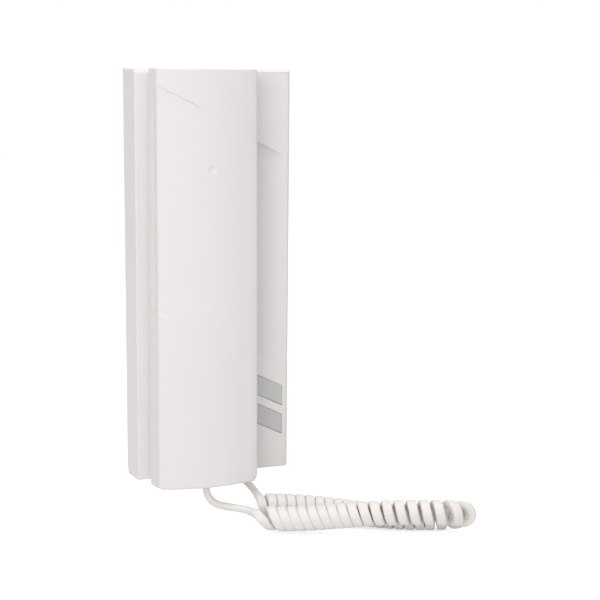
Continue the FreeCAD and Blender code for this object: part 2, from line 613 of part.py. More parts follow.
HALF = f"{HANDSET_WIDE} / 2"
EDGE = "(base_deep + handset_side)"
CROWN_R = f"((({HALF}) ^ 2 + crown ^ 2) / (2 * crown))"
CROWN_CENTRE = f"({CROWN_R} - {EDGE} - crown)"
WAIST_RISE = "(crown + waist_deep + waist_over)"
WAIST_R = f"((({HALF}) ^ 2 + {WAIST_RISE} ^ 2) / (2 * {WAIST_RISE}))"
WAIST_CENTRE = f"({WAIST_R} - {EDGE} - crown - waist_over)"


def arch_edge(radius, centre, half):
    return f"{centre} - sqrt(({radius}) ^ 2 - ({half}) ^ 2)"


grip_front = new_body("handset_shell")
crown = grip_front.newObject("PartDesign::Pad", "Crown")
section = new_sketch(grip_front, "XY_Plane", HANDSET_LOW)
crown_edge = arch_edge(CROWN_R, CROWN_CENTRE, HALF)
draw_arch(section, HALF, f"-{SHELL_SPLIT}", crown_edge, CROWN_CENTRE)
grip_front.Tip = crown
finish_feature(grip_front, crown, section, f"tall / 2 - {HANDSET_LOW}")
round_edges(grip_front, "grip_corner", {"x": left, "z": low_end}, {"x": right, "z": low_end})
hollow = grip_front.newObject("PartDesign::Pocket", "Hollow")
section = new_sketch(grip_front, "XY_Plane", f"{HANDSET_LOW} + wall")
inside = f"{HALF} - wall"
inner_edge = arch_edge(f"{CROWN_R} - wall", CROWN_CENTRE, inside)
draw_arch(section, inside, f"-{SHELL_SPLIT} + 1", inner_edge, CROWN_CENTRE)
hollow.Reversed = True
grip_front.Tip = hollow
finish_feature(grip_front, hollow, section, f"tall / 2 - {HANDSET_LOW} - 2 * wall")
for spot in SCREW_SPOTS:
    reach = f"{EDGE} + crown - wall / 2 - {SHELL_SPLIT}"
    pad(grip_front, "XZ_Plane", SHELL_SPLIT, reach, (HANDSET_MID, spot, "grip_post + 1"))
    cut(grip_front, "XZ_Plane", SHELL_SPLIT, f"{reach} - wall", (HANDSET_MID, spot, "post_bore"))
bush_hole = (HANDSET_MID, "-base_deep - handset_exit", "bush_wide + pin_fit")
cut(grip_front, "XY_Plane", HANDSET_LOW, "wall", bush_hole)
front_edges = []
for place, edge in enumerate(grip_front.Tip.Shape.Edges, start=1):
    box = edge.BoundBox
    if box.YMax > -s["base_deep"] - s["handset_side"] + 0.1:
        continue
    beside = min(abs(box.XMin - left), abs(box.XMin - right))
    past_end = min(abs(box.ZMin - low_end), abs(box.ZMin - s["tall"] / 2))
    long_side = box.ZLength > 0.7 * s["tall"] and beside < 0.1
    long_end = box.XLength > 0.7 * (right - left) and past_end < 0.1
    if long_side or long_end:
        front_edges.append(f"Edge{place}")
print("front edges rounded:", len(front_edges))
round_named(grip_front, "grip_round", front_edges)
dimple = doc.addObject("Part::Sphere", "dimple_ball")
bind(dimple, Radius="(dimple_wide ^ 2 / 4 + dimple_deep ^ 2) / (2 * dimple_deep)")
bind(dimple, Placement__Base__x=f"{HANDSET_MID} + dimple_side")
bind(dimple, Placement__Base__z="tall / 2 - dimple_drop")
ball_out = "(dimple_wide ^ 2 / 4 + dimple_deep ^ 2) / (2 * dimple_deep) - dimple_deep"
bind(dimple, Placement__Base__y=f"-({EDGE} + crown + {ball_out})")
smooth = doc.addObject("Part::Cut", "handset_smooth")
smooth.Base, smooth.Tool = grip_front, dimple
doc.recompute()
waist = free_sketch("waist_section", "XY")
mid = handset_mid
rough = [Vector(mid + x, y, 0) for x, y in ((-28, -60), (-28, -39), (28, -39), (28, -60))]
arch = Part.Arc(rough[1], Vector(mid, -45.5, 0), rough[2])
waist.addGeometry(Part.LineSegment(rough[0], rough[1]), False)
waist.addGeometry(arch, False)
waist.addGeometry(Part.LineSegment(rough[2], rough[3]), False)
waist.addGeometry(Part.LineSegment(rough[3], rough[0]), False)
for first, second in ((0, 1), (1, 2), (2, 3), (3, 0)):
    waist.addConstraint(Sketcher.Constraint("Coincident", first, 2, second, 1))
over = f"({HALF} + 1)"
side = arch_edge(WAIST_R, WAIST_CENTRE, over)
fix_point(waist, 0, 1, f"{HANDSET_MID} - {over}", "-3 * base_deep", rough[0])
fix_point(waist, 0, 2, f"{HANDSET_MID} - {over}", side, rough[1])
fix_point(waist, 2, 1, f"{HANDSET_MID} + {over}", side, rough[2])
fix_point(waist, 3, 1, f"{HANDSET_MID} + {over}", "-3 * base_deep", rough[3])
tie = waist.addConstraint(Sketcher.Constraint("DistanceY", -1, 1, 1, 3, waist.Geometry[1].Center.y))
waist.setExpression(f"Constraints[{tie}]", sized(WAIST_CENTRE))
keep(cut_band(smooth, "handset_front", waist, f"({HANDSET_LEFT} - 5)", f"({HANDSET_RIGHT} + 5)"))


# keys and their switches: flange behind the cover's front, stem on the plunger
KEY_BACK = "(base_deep - wall - fit - flange_thick)"
SWITCH_TOP = f"({BOARD_FRONT} + switch_high)"
STEM_X = f"({KEY_LEFT} + key_wide / 2)"
for name, top in KEY_TOPS.items():
    stem_z = f"({top} - key_high / 2 - slope * key_wide / 2)"
    key = new_body(f"{name}_button")
    pad(key, "XZ_Plane", KEY_BACK, f"base_deep + key_proud - {KEY_BACK}", key_outline(top, "0"))
    pad(key, "XZ_Plane", KEY_BACK, "flange_thick", key_outline(top, "key_flange"))
    half = "stem_wide / 2"
    stem = block(f"{STEM_X} - {half}", f"{stem_z} - {half}", f"{STEM_X} + {half}", f"{stem_z} + {half}")
    stem_foot = f"{SWITCH_TOP} + plunger_high"
    pad(key, "XZ_Plane", stem_foot, f"{KEY_BACK} + flange_thick / 2 - ({stem_foot})", stem)
    keep(key)
    switch = new_body(f"{name}_switch")
    half = "switch_wide / 2"
    outline = block(f"{STEM_X} - {half}", f"{stem_z} - {half}", f"{STEM_X} + {half}", f"{stem_z} + {half}")
    pad(switch, "XZ_Plane", BOARD_FRONT, "switch_high", outline)
    room = (STEM_X, stem_z, "plunger_wide + 2 * pin_fit")
    cut(switch, "XZ_Plane", f"{SWITCH_TOP} - 2 * key_travel", "2 * key_travel", room)
    keep(switch)
    plunger_long = "plunger_high + 0.7 * key_travel"
    plunger_foot = f"-({SWITCH_TOP} - 0.7 * key_travel)"
    label = f"{name}_switch_plunger"
    keep(cylinder(label, "plunger_wide", plunger_long, STEM_X, plunger_foot, stem_z, "-y"))

# circuit board on the plate's posts
board = new_body("circuit_board")
pad(board, "XZ_Plane", "board_floor", "board_thick", block(BOARD_LEFT, BOARD_LOW, BOARD_RIGHT, BOARD_HIGH))
board_holes = [(across, along, "post_bore") for across, along in POSTS]
cut(board, "XZ_Plane", "board_floor", "board_thick", *board_holes)
keep(board)
pieces = []
for place, (across, along) in enumerate(POSTS):
    pieces += screw(f"board_screw_{place}", across, BOARD_FRONT, along, f"{BOARD_FRONT} - plate_floor - 0.5")
keep(fuse("board_screws", *pieces))

# hook lever: hub on its pin, arm over the hook switch, nose through the slot
lever = new_body("hook_lever")
start = f"{HANDSET_MID} - lever_wide / 2"
arm_back, arm_front = f"(-{PIN_DEEP} + lever_thick / 2)", f"(-{PIN_DEEP} - lever_thick / 2)"
nose = f"(-({PAD_END} - fit))"
arm = [
    (arm_back, PIN_HIGH), (arm_back, f"{PIN_HIGH} - lever_long"), (nose, f"{PIN_HIGH} - lever_long"),
    (nose, f"{PIN_HIGH} - lever_long + nose_high / 2"), (arm_front, f"{PIN_HIGH} - lever_long + nose_high"),
    (arm_front, PIN_HIGH),
]
pad(lever, "YZ_Plane", start, "lever_wide", arm)
pad(lever, "YZ_Plane", start, "lever_wide", (f"-{PIN_DEEP}", PIN_HIGH, "hub_wide"))
cut(lever, "YZ_Plane", start, "lever_wide", pin_bore)
keep(lever)
pin_long = "(slot_wide + 2 * ear_wide + fit)"
pin_end = f"{HANDSET_MID} - {pin_long} / 2"
keep(cylinder("hook_lever_pin", "pin_wide", pin_long, pin_end, f"-{PIN_DEEP}", PIN_HIGH, "+x"))
hook_switch = new_body("hook_switch")
half, tip = "switch_wide / 2", f"({PIN_HIGH} - lever_long + switch_wide / 2)"
outline = block(f"{HANDSET_MID} - {half}", f"{tip} - {half}", f"{HANDSET_MID} + {half}", f"{tip} + {half}")
pad(hook_switch, "XZ_Plane", BOARD_FRONT, f"{PIN_DEEP} - lever_thick / 2 - fit - {BOARD_FRONT}", outline)
keep(hook_switch)

# terminal block with its row of screws
TERMINAL_LEFT, TERMINAL_TOP = f"({BOARD_LEFT} + post_wide + 3)", f"({BOARD_HIGH} - 2)"
terminal = new_body("terminal_block")
terminal_low, terminal_right = f"{TERMINAL_TOP} - terminal_high", f"{TERMINAL_LEFT} + terminal_wide"
outline = block(TERMINAL_LEFT, terminal_low, terminal_right, TERMINAL_TOP)
pad(terminal, "XZ_Plane", BOARD_FRONT, "terminal_deep", outline)
count = int(s["terminal_wide"] // s["terminal_pitch"])
screw_z = f"({TERMINAL_TOP} - terminal_high / 2)"
terminal_mid = f"{TERMINAL_LEFT} + terminal_wide / 2"
spots = [f"({terminal_mid} + {i - (count - 1) / 2} * terminal_pitch)" for i in range(count)]
screw_room = [(x, screw_z, "terminal_screw + 2 * pin_fit") for x in spots]
cut(terminal, "XZ_Plane", f"{BOARD_FRONT} + terminal_deep - 4", "4", *screw_room)
wires = [(x, f"-({BOARD_FRONT} + 2.5)", "terminal_screw") for x in spots]
cut(terminal, "XY_Plane", f"{TERMINAL_TOP} - terminal_high", "terminal_high / 2", *wires)
keep(terminal)
screw_foot = f"-({BOARD_FRONT} + terminal_deep - 4)"
pieces = [
    cylinder(f"terminal_screw_{i}", "terminal_screw", "3", x, screw_foot, screw_z, "-y")
    for i, x in enumerate(spots)
]
keep(fuse("terminal_screws", *pieces))

# ringer in its ring behind the sound slots
ringer = new_body("ringer")
ringer_back = "(base_deep - wall - fit - ringer_deep)"
pad(ringer, "XZ_Plane", ringer_back, "ringer_deep", (HANDSET_MID, "ringer_high", "ringer_wide"))
sound_hole = (HANDSET_MID, "ringer_high", "ringer_wide / 8")
cut(ringer, "XZ_Plane", f"{ringer_back} + ringer_deep / 2", "ringer_deep / 2", sound_hole)
keep(ringer)

# earpiece and microphone in the handset's pads
gasket = new_body("earpiece_gasket")
gasket_back = f"({PAD_END} + wall)"
ring = [(HANDSET_MID, EAR_MID, "capsule_wide"), (HANDSET_MID, EAR_MID, "capsule_wide - 4")]
pad(gasket, "XZ_Plane", gasket_back, "gasket_thick", *ring)
keep(gasket)
capsule = new_body("earpiece_capsule")
capsule_back = f"{gasket_back} + gasket_thick"
disc, magnet = (HANDSET_MID, EAR_MID, "capsule_wide"), (HANDSET_MID, EAR_MID, "capsule_wide * 0.7")
pad(capsule, "XZ_Plane", capsule_back, "capsule_deep * 0.6", disc)
pad(capsule, "XZ_Plane", f"{capsule_back} + capsule_deep * 0.5", "capsule_deep * 0.5", magnet)
keep(capsule)
boot = new_body("microphone_boot")
rubber = (HANDSET_MID, MOUTH_MID, "mic_wide + 2 * boot_wall")
pad(boot, "XZ_Plane", gasket_back, "mic_deep + 1", rubber)
mic_room = (HANDSET_MID, MOUTH_MID, "mic_wide + 2 * pin_fit")
cut(boot, "XZ_Plane", f"{gasket_back} + 1", "mic_deep", mic_room)
cut(boot, "XZ_Plane", gasket_back, "1", (HANDSET_MID, MOUTH_MID, "grille_hole"))
keep(boot)
mic_foot = f"-({gasket_back} + 1)"
keep(cylinder("microphone_capsule", "mic_wide", "mic_deep", HANDSET_MID, mic_foot, MOUTH_MID, "-y"))

# screws of the handset and of the cover
pieces = []
for place, spot in enumerate(SCREW_SPOTS):
    seat_y = f"({HANDSET_BACK} + head_high + 1.4)"
    name, head_y = f"handset_screw_{place}", f"-({seat_y} - head_high)"
    head = cylinder(f"{name}_head", "screw_head", "head_high", HANDSET_MID, head_y, spot, "-y")
    shank_long = f"{SHELL_SPLIT} + 6 - {seat_y}"
    shank = cylinder(f"{name}_shank", "screw_shank", shank_long, HANDSET_MID, f"-{seat_y}", spot, "-y")
    pieces += [head, shank]
keep(fuse("handset_screws", *pieces))
screw_y, head_z = f"-{SCREW_DEEP}", f"{LUG_LOW} - head_high"
head = cylinder("cover_screw_head", "screw_head", "head_high", LUG_MID, screw_y, head_z, "+z")
shank = cylinder("cover_screw_shank", "screw_shank", "post_wide - 0.5", LUG_MID, screw_y, LUG_LOW, "+z")
keep(fuse("cover_screw", head, shank))

# moulded cord bushes
for name, x, y, low in (
    ("handset_cord_grommet", HANDSET_MID, "-base_deep - handset_exit", HANDSET_LOW),
    ("base_cord_grommet", BASE_EXIT, "-base_exit_deep", "(-tall / 2)"),
):
    stem = cylinder(f"{name}_stem", "bush_wide", "bush_out + wall + 0.5", x, y, f"{low} - bush_out", "+z")
    flange = cylinder(f"{name}_flange", "bush_flange", "1.2", x, y, f"{low} + wall", "+z")
    keep(fuse(name, stem, flange))


# curly cord: its axis leaves the handset's side, lies to the right, turns and comes back
wide = s["cord_wide"]
ring = s["curl_core"] + wide / 2
closed = wide + s["curl_gap"]
UP = Vector(0, 0, 1)
AXIS = [
    (12.5, -51, -125.9), (26, -57.5, -125.9), (41, -65, -125.1), (56, -72, -123.4), (70, -79, -121.6),
    (84, -86.5, -120.4), (98, -93.5, -119.5), (108.5, -97, -119.5), (116.5, -93.5, -122),
    (118, -85.5, -125.6), (112.5, -79.8, -127.5), (103, -77.5, -127.6), (90, -72.5, -127.6),
    (77, -64.5, -127.3), (63.3, -55, -126.6), (48.2, -46.6, -125.4), (33.5, -41, -124.4), (21.5, -38, -124.2),
]


def quadratic(points):
    """A smooth curve that starts and ends on its first and last points and is drawn in by the others."""
    poles = [Vector(*point) for point in points]
    count = len(poles)
    curve = Part.BSplineCurve()
    knots = [float(i) for i in range(count - 1)]
    curve.buildFromPolesMultsKnots(poles, [3] + [1] * (count - 3) + [3], knots, False, 2)
    return curve


curve = quadratic(AXIS)
axis_long = curve.length()
STEPS = 1200
step = axis_long / STEPS
spots = [curve.parameterAtDistance(i * step, curve.FirstParameter) for i in range(STEPS + 1)]
axis = [curve.value(spot) for spot in spots]
heading = [Vector(curve.tangent(spot)[0]).normalize() for spot in spots]
inner = [min(max(spot, spots[0] + 1e-6), spots[-1] - 1e-6) for spot in spots]
bend = [1 / max(curve.curvature(spot), 1e-6) for spot in inner]
print("coil axis", round(axis_long, 1), "mm, least radius", round(min(bend), 1))
strands = min(
    (axis[i] - axis[j]).Length for i in range(0, STEPS + 1, 6) for j in range(i + 240, STEPS + 1, 6)
)
print("axes of the two strands, least distance", round(strands, 2))
# curls open on the outside of a bend, so that they stay apart on its inside
open_pitch = [closed / max(1 - ring / max(radius, ring + 2.5), 0.3) for radius in bend]
pitch = []
for i in range(STEPS + 1):
    near = open_pitch[max(0, i - 40):i + 41]
    start_loose = 60 * max(0, 1 - i * step / 11) ** 3
    end_loose = 4 * max(0, 1 - (STEPS - i) * step / 9) ** 3
    pitch.append(max(closed, sum(near) / len(near)) + start_loose + end_loose)
angle = [0.0]
for i in range(STEPS):
    angle.append(angle[-1] + 2 * math.pi * step / pitch[i])
turns = math.floor(angle[-1] / (2 * math.pi))
stretch = turns * 2 * math.pi / angle[-1]
angle = [value * stretch for value in angle]
print("curls", turns)


def curl_point(turned):
    """Middle of the strand where it has turned by the given angle round the coil's axis."""
    low, high = 0, STEPS
    while high - low > 1:
        middle = (low + high) // 2
        low, high = (middle, high) if angle[middle] <= turned else (low, middle)
    part = (turned - angle[low]) / (angle[high] - angle[low])
    centre = axis[low] + (axis[high] - axis[low]) * part
    along = (heading[low] + (heading[high] - heading[low]) * part).normalize()
    front = along.cross(UP).normalize()
    rise = front.cross(along)
    return centre + rise * (ring * math.cos(turned)) + front * (ring * math.sin(turned))


def curl_heading(turned):
    ahead = curl_point(min(turned + 1e-3, angle[-1]))
    return (ahead - curl_point(max(turned - 1e-3, 0))).normalize()


def arc_between(start, tangent, end):
    """The arc from start to end that leaves start along the tangent."""
    chord = end - start
    normal = tangent.cross(chord)
    if normal.Length < 1e-6 * chord.Length:
        return Part.LineSegment(start, end)
    side = normal.cross(tangent).normalize()
    radius = chord.dot(chord) / (2 * chord.dot(side))
    centre = start + side * radius
    out = ((start + end) * 0.5 - centre).normalize() * abs(radius)
    middle = centre + out if (centre + out - start).dot(tangent) > 0 else centre - out
    return Part.Arc(start, middle, end)


def two_arcs(start, first, end, last):
    """Two arcs that meet smoothly and join two points in the given directions."""
    chord = end - start
    both = first + last
    square, linear, rest = 2 * (1 - first.dot(last)), 2 * chord.dot(both), -chord.dot(chord)
    reach = -rest / linear
    if square > 1e-9:
        reach = (-linear + math.sqrt(linear ** 2 - 4 * square * rest)) / (2 * square)
    joint = (start + first * reach + end - last * reach) * 0.5
    back = arc_between(end, last * -1, joint)
    middle = back.value((back.FirstParameter + back.LastParameter) / 2)
    return [arc_between(start, first, joint).toShape(), Part.Arc(joint, middle, end).toShape()]


marks = [i * math.pi for i in range(2 * turns + 1)]
points = [curl_point(mark) for mark in marks]
headings = [curl_heading(mark) for mark in marks]
coil_start = points[0] - headings[0] * wide
coil_end = points[-1] + headings[-1] * wide
edges = [Part.LineSegment(coil_start, points[0]).toShape()]
for i in range(len(marks) - 1):
    edges += two_arcs(points[i], headings[i], points[i + 1], headings[i + 1])
edges.append(Part.LineSegment(points[-1], coil_end).toShape())
path = Part.Wire(edges)
SIDES = 6
SECTION_AREA = SIDES / 2 * math.sin(2 * math.pi / SIDES) * (wide / 2) ** 2


def cord_tube(label, way, start, along):
    """The cord's six-sided section swept along a way, its volume set against section and length."""
    across = along.cross(Vector(0, 0, 1) if abs(along.z) < 0.9 else Vector(1, 0, 0)).normalize()
    upward = along.cross(across)
    corners = [
        start + (across * math.cos(turn) + upward * math.sin(turn)) * (wide / 2)
        for turn in [2 * math.pi * i / SIDES for i in range(SIDES + 1)]
    ]
    thing = doc.addObject("Part::Feature", label)
    thing.Label = label
    thing.Shape = way.makePipeShell([Part.makePolygon(corners)], True, False)
    ratio = thing.Shape.Volume / (SECTION_AREA * way.Length)
    print(label, round(way.Length, 1), "mm, volume over section x length", round(ratio, 4))
    return thing


coil = cord_tube("cord_coil", path, coil_start, headings[0])
trace = []
for edge in edges:
    count = max(2, int(edge.Length / 0.8))
    trace += edge.discretize(count)[:-1]
run = [0.0]
for i in range(1, len(trace)):
    run.append(run[-1] + (trace[i] - trace[i - 1]).Length)
cells = {}
for i, spot in enumerate(trace):
    cells.setdefault((int(spot.x // 8), int(spot.y // 8), int(spot.z // 8)), []).append(i)
least = 99.0
for i, spot in enumerate(trace):
    cell = (int(spot.x // 8), int(spot.y // 8), int(spot.z // 8))
    for dx in (-1, 0, 1):
        for dy in (-1, 0, 1):
            for dz in (-1, 0, 1):
                for j in cells.get((cell[0] + dx, cell[1] + dy, cell[2] + dz), []):
                    if run[j] - run[i] > 2 * ring:
                        least = min(least, (trace[j] - spot).Length)
print("least gap between curls", round(least - wide, 2), "mm")
if least - wide < 0.4:
    raise RuntimeError("the curls touch")


def tail(label, points):
    """The cord along straight runs joined by arcs as large as the runs allow."""
    points = [Vector(*point) for point in points]
    pieces = []
    here = points[0]
    for i in range(1, len(points) - 1):
        before, after = points[i] - points[i - 1], points[i + 1] - points[i]
        half_turn = before.getAngle(after) / 2
        reach = 0.45 * min(before.Length, after.Length)
        radius = reach / math.tan(half_turn)
        begin = points[i] - before.normalize() * reach
        end = points[i] + after.normalize() * reach
        apex = (begin + end) * 0.5
        bow = (points[i] - apex).normalize() * (radius * (1 - math.cos(half_turn)))
        pieces.append(Part.LineSegment(here, begin).toShape())
        pieces.append(Part.Arc(begin, apex + bow, end).toShape())
        here = end
        print(label, "bend radius", round(radius, 1))
    pieces.append(Part.LineSegment(here, points[-1]).toShape())
    way = Part.Wire(pieces)
    return cord_tube(label, way, points[0], (points[1] - points[0]).normalize())


handset_exit = (handset_mid, -s["base_deep"] - s["handset_exit"], low_end - s["bush_out"])
base_exit = (number(BASE_EXIT), -s["base_exit_deep"], -s["tall"] / 2 - s["bush_out"])
handset_tail = [
    handset_exit, (handset_mid, handset_exit[1], -115), (-7.2, -38, -119.6), (-2.2, -40, -122.4),
    tuple(coil_start - headings[0] * 7), tuple(coil_start),
]
base_tail = [
    tuple(coil_end), tuple(coil_end + headings[-1] * 6.5), (19, -20.5, -119), (17.6, -16, -116.4),
    (base_exit[0], base_exit[1], -113), base_exit,
]
print("coil start", coil_start, headings[0], "coil end", coil_end, headings[-1])
keep(tail("cord_handset_tail", handset_tail))
keep(coil)
keep(tail("cord_base_tail", base_tail))

doc.recompute()
for thing in doc.Objects:
    if "Invalid" in thing.State or "Error" in thing.State:
        raise RuntimeError(f"{thing.Label} failed: {thing.State}")
os.makedirs("parts", exist_ok=True)
for thing in nodes:
    shape = thing.Shape
    if shape.isNull() or not shape.isValid() or len(shape.Solids) < 1:
        raise RuntimeError(f"{thing.Label} has no valid solid")
for thing in nodes:
    thing.Shape.exportStep(f"parts/{thing.Label}.step")
    box = thing.Shape.BoundBox
    span = f"{box.XMin:.1f}..{box.XMax:.1f}, {box.YMin:.1f}..{box.YMax:.1f}, {box.ZMin:.1f}..{box.ZMax:.1f}"
    print(thing.Label, len(thing.Shape.Solids), round(thing.Shape.Volume, 1), span)
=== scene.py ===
import bmesh
import bpy
import math
from mathutils import Matrix, Vector
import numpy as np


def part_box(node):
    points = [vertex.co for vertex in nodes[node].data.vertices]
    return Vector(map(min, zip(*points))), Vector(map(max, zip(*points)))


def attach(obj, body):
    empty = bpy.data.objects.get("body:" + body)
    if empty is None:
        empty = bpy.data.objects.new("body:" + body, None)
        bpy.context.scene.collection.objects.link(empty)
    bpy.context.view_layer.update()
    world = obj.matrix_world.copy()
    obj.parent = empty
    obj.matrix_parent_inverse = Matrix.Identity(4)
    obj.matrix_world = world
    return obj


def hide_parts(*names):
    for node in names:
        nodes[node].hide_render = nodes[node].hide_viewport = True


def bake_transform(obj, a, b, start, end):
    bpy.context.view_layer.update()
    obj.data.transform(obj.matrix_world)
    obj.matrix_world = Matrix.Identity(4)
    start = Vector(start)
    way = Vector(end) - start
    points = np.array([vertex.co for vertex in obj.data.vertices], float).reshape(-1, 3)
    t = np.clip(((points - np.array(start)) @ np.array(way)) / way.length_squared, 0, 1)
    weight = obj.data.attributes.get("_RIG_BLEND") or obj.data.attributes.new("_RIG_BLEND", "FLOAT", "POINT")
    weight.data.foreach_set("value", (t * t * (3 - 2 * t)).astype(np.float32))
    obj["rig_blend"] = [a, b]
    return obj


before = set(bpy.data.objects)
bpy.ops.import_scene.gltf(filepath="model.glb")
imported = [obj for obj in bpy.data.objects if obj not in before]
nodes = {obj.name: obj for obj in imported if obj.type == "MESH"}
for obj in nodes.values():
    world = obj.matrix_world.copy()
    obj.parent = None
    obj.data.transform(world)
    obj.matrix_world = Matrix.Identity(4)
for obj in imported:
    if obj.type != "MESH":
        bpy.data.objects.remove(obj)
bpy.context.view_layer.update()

mm = 0.001
print("loaded", len(nodes), "CAD nodes")


# selecting and shaping by hand

shaping = {
    "digits": 4,                        # of a millimetre, on what is read from the frame
    "close": 0.01,                      # places nearer than this, in millimetres, count as the same
    "longEdge": 1,
    "cutClose": 1e-7, "merge": 2e-6,    # metres
    "bevelSteps": 4, "smoothUnder": 32, "normalWeight": 80,
}


# a node's lowest and highest corner, in millimetres
def cornersOf(node):
    return [[round(c / mm, shaping["digits"]) for c in corner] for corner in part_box(node)]


def freshSelection():
    if bpy.context.object and bpy.context.object.mode != "OBJECT":
        bpy.ops.object.mode_set(mode="OBJECT")
    bpy.ops.object.select_all(action="DESELECT")


def selectOnly(piece):
    freshSelection()
    piece.select_set(True)
    bpy.context.view_layer.objects.active = piece


def selectWhole():
    bpy.ops.mesh.select_all(action="SELECT")


# opens a piece in edit mode with nothing selected
def edit(piece):
    selectOnly(piece)
    bpy.ops.object.mode_set(mode="EDIT")
    bpy.ops.mesh.select_mode(type="VERT")
    bpy.ops.mesh.select_all(action="DESELECT")


def editDone():
    bpy.ops.object.mode_set(mode="OBJECT")


def same(one, other, close=shaping["close"]):
    return abs(one - other) < close


def edgeMiddle(edge):
    return (edge.verts[0].co + edge.verts[1].co) / 2 / mm


# an edge that runs from the front towards the wall
def runsBack(edge):
    return abs(edge.verts[0].co.y - edge.verts[1].co.y) > shaping["longEdge"] * mm


def pickVertices(piece, test):
    bpy.ops.mesh.select_mode(type="VERT")
    bpy.ops.mesh.select_all(action="DESELECT")
    mesh = bmesh.from_edit_mesh(piece.data)
    for vertex in mesh.verts:
        if test(vertex.co / mm):
            vertex.select_set(True)
    mesh.select_flush_mode()
    bmesh.update_edit_mesh(piece.data)


def pickEdges(piece, test):
    bpy.ops.mesh.select_mode(type="EDGE")
    bpy.ops.mesh.select_all(action="DESELECT")
    mesh = bmesh.from_edit_mesh(piece.data)
    for edge in mesh.edges:
        if test(edgeMiddle(edge), edge):
            edge.select_set(True)
    mesh.select_flush_mode()
    bmesh.update_edit_mesh(piece.data)


# a cube at its size and place, in millimetres, ready to be shaped
def block(name, x, y, z):
    freshSelection()
    bpy.ops.mesh.primitive_cube_add(size=1, location=(0, 0, 0))
    piece = bpy.context.object
    piece.name = piece.data.name = name
    bpy.ops.object.mode_set(mode="EDIT")
    selectWhole()
    spans = [(b - a) * mm for a, b in (x, y, z)]
    middles = [(a + b) / 2 * mm for a, b in (x, y, z)]
    bpy.ops.transform.resize(value=spans, center_override=(0, 0, 0))
    bpy.ops.transform.translate(value=middles)
    editDone()
    return piece


def slide(x=0, y=0, z=0):
    bpy.ops.transform.translate(value=(x * mm, y * mm, z * mm))


# cuts the whole piece that is being edited by a plane
def cutAcross(at, normal):
    selectWhole()
    bpy.ops.mesh.bisect(plane_co=Vector(at) * mm, plane_no=normal, threshold=shaping["cutClose"])


# adds a modifier and applies it
def applied(piece, kind, **settings):
    selectOnly(piece)
    modifier = piece.modifiers.new(kind.title(), kind)
    for setting, value in settings.items():
        setattr(modifier, setting, value)
    bpy.ops.object.modifier_apply(modifier=modifier.name)


def carve(piece, tool, how="DIFFERENCE"):
    applied(piece, "BOOLEAN", object=tool, operation=how, solver="EXACT")
    bpy.data.objects.remove(tool)


def shadeSmooth(piece, degrees):
    selectOnly(piece)
    bpy.ops.object.shade_smooth_by_angle(angle=math.radians(degrees))


def evenNormals(piece):
    applied(piece, "WEIGHTED_NORMAL", keep_sharp=True, weight=shaping["normalWeight"])


def smoothed(piece):
    edit(piece)
    selectWhole()
    bpy.ops.mesh.remove_doubles(threshold=shaping["merge"])
    bpy.ops.mesh.normals_make_consistent(inside=False)
    editDone()
    shadeSmooth(piece, shaping["smoothUnder"])
    evenNormals(piece)


# bevels chosen edges, each group with its own radius, in one go so that they meet cleanly
def roundBySize(piece, sizes):
    widest = max(radius for radius, test in sizes)
    edit(piece)
    mesh = bmesh.from_edit_mesh(piece.data)
    layers, weight = mesh.edges.layers.float, "bevel_weight_edge"
    layer = layers.get(weight) or layers.new(weight)
    for edge in mesh.edges:
        for radius, test in sizes:
            if test(edgeMiddle(edge), edge):
                edge[layer] = radius / widest
                break
    bmesh.update_edit_mesh(piece.data)
    editDone()
    applied(piece, "BEVEL", limit_method="WEIGHT", width=widest * mm, segments=shaping["bevelSteps"],
            offset_type="OFFSET", use_clamp_overlap=False)
    piece.data.attributes.remove(piece.data.attributes[weight])


# moves every vertex by what shift gives for its place
def moved(piece, shift):
    edit(piece)
    mesh = bmesh.from_edit_mesh(piece.data)
    for vertex in mesh.verts:
        vertex.co += Vector(shift(vertex.co / mm)) * mm
    bmesh.update_edit_mesh(piece.data)
    editDone()


# finishes, all procedural on Object coordinates

grainRules = {
    "driftScale": 14, "driftDetail": 3, "driftFrom": 0.3, "driftTo": 0.7,
    "grainDetail": 2, "grainDeep": 0.0004, "roughDrift": 0.04,
}

